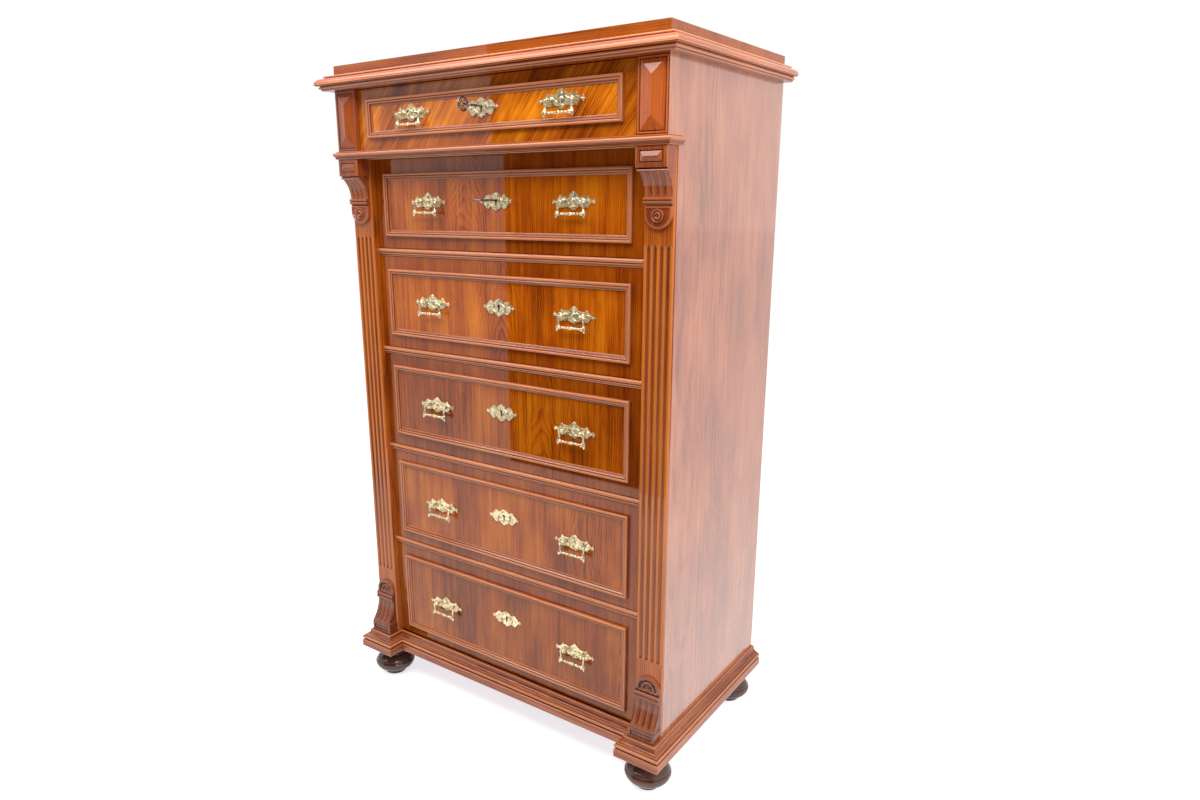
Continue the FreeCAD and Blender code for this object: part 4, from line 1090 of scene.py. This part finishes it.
SHANK_LINE = [(0.0, 0.0), (2.2, 0.0), (2.2, 60.0), (3.0, 60.6), (3.0, 62.0), (2.4, 62.6),
              (2.6, 63.4), (4.3, 64.2), (4.5, 65.6), (3.6, 67.0), (2.2, 69.0), (0.0, 69.0)]
# rings as (radius, thickness, back, up), spokes as (back, up) to (back, up)
BOW_RINGS = ((13.0, 2.0, 0.0, 0.0), (4.2, 1.2, -4.6, 0.0), (3.6, 1.2, 3.4, 4.6),
             (3.6, 1.2, 3.4, -4.6))
BOW_SPOKES = ((-13.0, 0.0, -8.0, 0.0), (7.0, 4.6, 12.0, 7.4), (7.0, -4.6, 12.0, -7.4),
              (-2.0, 4.0, -6.0, 11.0), (-2.0, -4.0, -6.0, -11.0), (2.0, 0.0, 14.0, 0.0))
oval = (Matrix.Diagonal((1.0, BOW_LENGTH / 30.0, 1.0, 1.0))
        @ Matrix.Rotation(math.radians(90.0), 4, "Y"))
for k, turn in enumerate(KEY_TURNS):
    name, face, hole_z = drawers[k]
    key = "key_%d" % (k + 1)
    bow_y = face - KEY_REACH + BOW_LENGTH / 2.0
    shape = bmesh.new()
    turned(shape, SHANK_LINE, facing(0.0, face + KEY_DEEP, 0.0), steps=24)
    squared_timber(shape, -BIT_HALF, BIT_HALF, face + BIT_START, face + BIT_END, -BIT_DROP,
                   0.0, ease=0.2)
    for radius, thick, back, up in BOW_RINGS:
        turned(shape, arc(radius, 0.0, thick, 0.0, 360.0, 10),
               Matrix.Translation(at(0.0, bow_y + back, up)) @ oval, steps=32)
    for start_y, start_z, end_y, end_z in BOW_SPOKES:
        drawn_bar(shape, [((0.0, bow_y + start_y, start_z), SPOKE),
                          ((0.0, bow_y + end_y, end_z), SPOKE)], sides=8)
    spin = (Matrix.Translation((0.0, 0.0, hole_z * MM))
            @ Matrix.Rotation(math.radians(turn), 4, "Y"))
    bmesh.ops.transform(shape, matrix=spin, verts=shape.verts)
    piece = finished(key + "_cast", shape, [dark_steel], key, sharp=40.0)
    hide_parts(key)
    dress("lock_bolt_%d" % (k + 1), dark_steel)

# ---- stage ----
# A white floor that runs out of sight and soft studio lamps. A dark screen
# stands behind the onlooker, which only the polish and the brass can mirror.
material, start, shader = new_material("white_floor")
rays = start.node("LightPath")
seen = start.math("MINIMUM", rays + rays.other("Is Glossy Ray") * 0.75, 1.0)
thin = start.node("BsdfDiffuse", {}, {"Color": (0.75, 0.76, 0.70)})
bright = start.node("Emission", {}, {"Color": (0.70, 0.69, 0.745), "Strength": 1.0})
paper = start.node("AddShader", {}, {0: thin, 1: bright})
plain = start.node("BsdfDiffuse", {}, {"Color": (0.62, 0.62, 0.62)})
shown = start.node("MixShader", {}, {0: seen, 1: plain, 2: paper})
shown.feeds(material.node_tree.nodes["Material Output"].inputs["Surface"])


def stand(name, size_x, size_y, place, finish):
    """A flat sheet of the studio, which isn't part of the chest."""
    sheet = bmesh.new()
    bmesh.ops.create_grid(sheet, x_segments=1, y_segments=1, size=0.5)
    bmesh.ops.scale(sheet, verts=sheet.verts, vec=(size_x, size_y, 1.0))
    bmesh.ops.transform(sheet, matrix=place, verts=sheet.verts)
    made = bpy.data.meshes.new(name)
    sheet.to_mesh(made)
    sheet.free()
    made.materials.append(finish)
    flat = bpy.data.objects.new(name, made)
    scene.collection.objects.link(flat)
    return flat


stand("floor", 60.0, 60.0, Matrix.Identity(4), material)
cloth, start, shader = new_material("dark_cloth")
shader.inputs["Base Color"].default_value = (0.012, 0.012, 0.012, 1.0)
shader.inputs["Roughness"].default_value = 1.0
screen = stand("dark_screen", 4.6, 2.7, Matrix.Translation((0.93, -1.85, 1.36))
               @ Matrix.Rotation(math.radians(90.0), 4, "X"), cloth)
for ray in ("camera", "diffuse", "shadow", "transmission"):
    setattr(screen, "visible_" + ray, False)

world = bpy.data.worlds.new("studio")
scene.world = world
world.use_nodes = True
sky = Signal(world.node_tree)
rays = sky.node("LightPath")
shown = sky.math("MINIMUM", rays + rays.other("Is Glossy Ray")
                 + rays.other("Is Transmission Ray"), 1.0)
back = world.node_tree.nodes["Background"]
back.inputs["Color"].default_value = (1.0, 1.0, 1.0, 1.0)
(0.45 + shown * 0.55).feeds(back.inputs["Strength"])


def lamp(name, place, aim, size, watts, spread=180.0):
    """A soft rectangular lamp that can't itself be seen, only mirrored."""
    data = bpy.data.lights.new(name, "AREA")
    data.shape = "RECTANGLE"
    data.size, data.size_y = size
    data.energy = watts
    data.spread = math.radians(spread)
    made = bpy.data.objects.new(name, data)
    scene.collection.objects.link(made)
    made.location = place
    made.rotation_euler = (Vector(aim) - Vector(place)).to_track_quat("-Z", "Y").to_euler()
    made.visible_camera = False
    return made


lamp("ceiling", (-0.6, -1.5, 3.1), (-0.6, -1.5, 0.0), size=(3.6, 1.8), watts=100.0)
lamp("key_lamp", (1.3, -1.3, 2.6), (0.2, 0.0, 1.2), size=(0.6, 0.6), watts=14.0)
side_lamp = lamp("side_lamp", (2.6, 0.1, 1.5), (0.4, 0.05, 1.0), size=(1.2, 1.2), watts=15.0,
                 spread=100.0)
side_lamp.visible_glossy = False
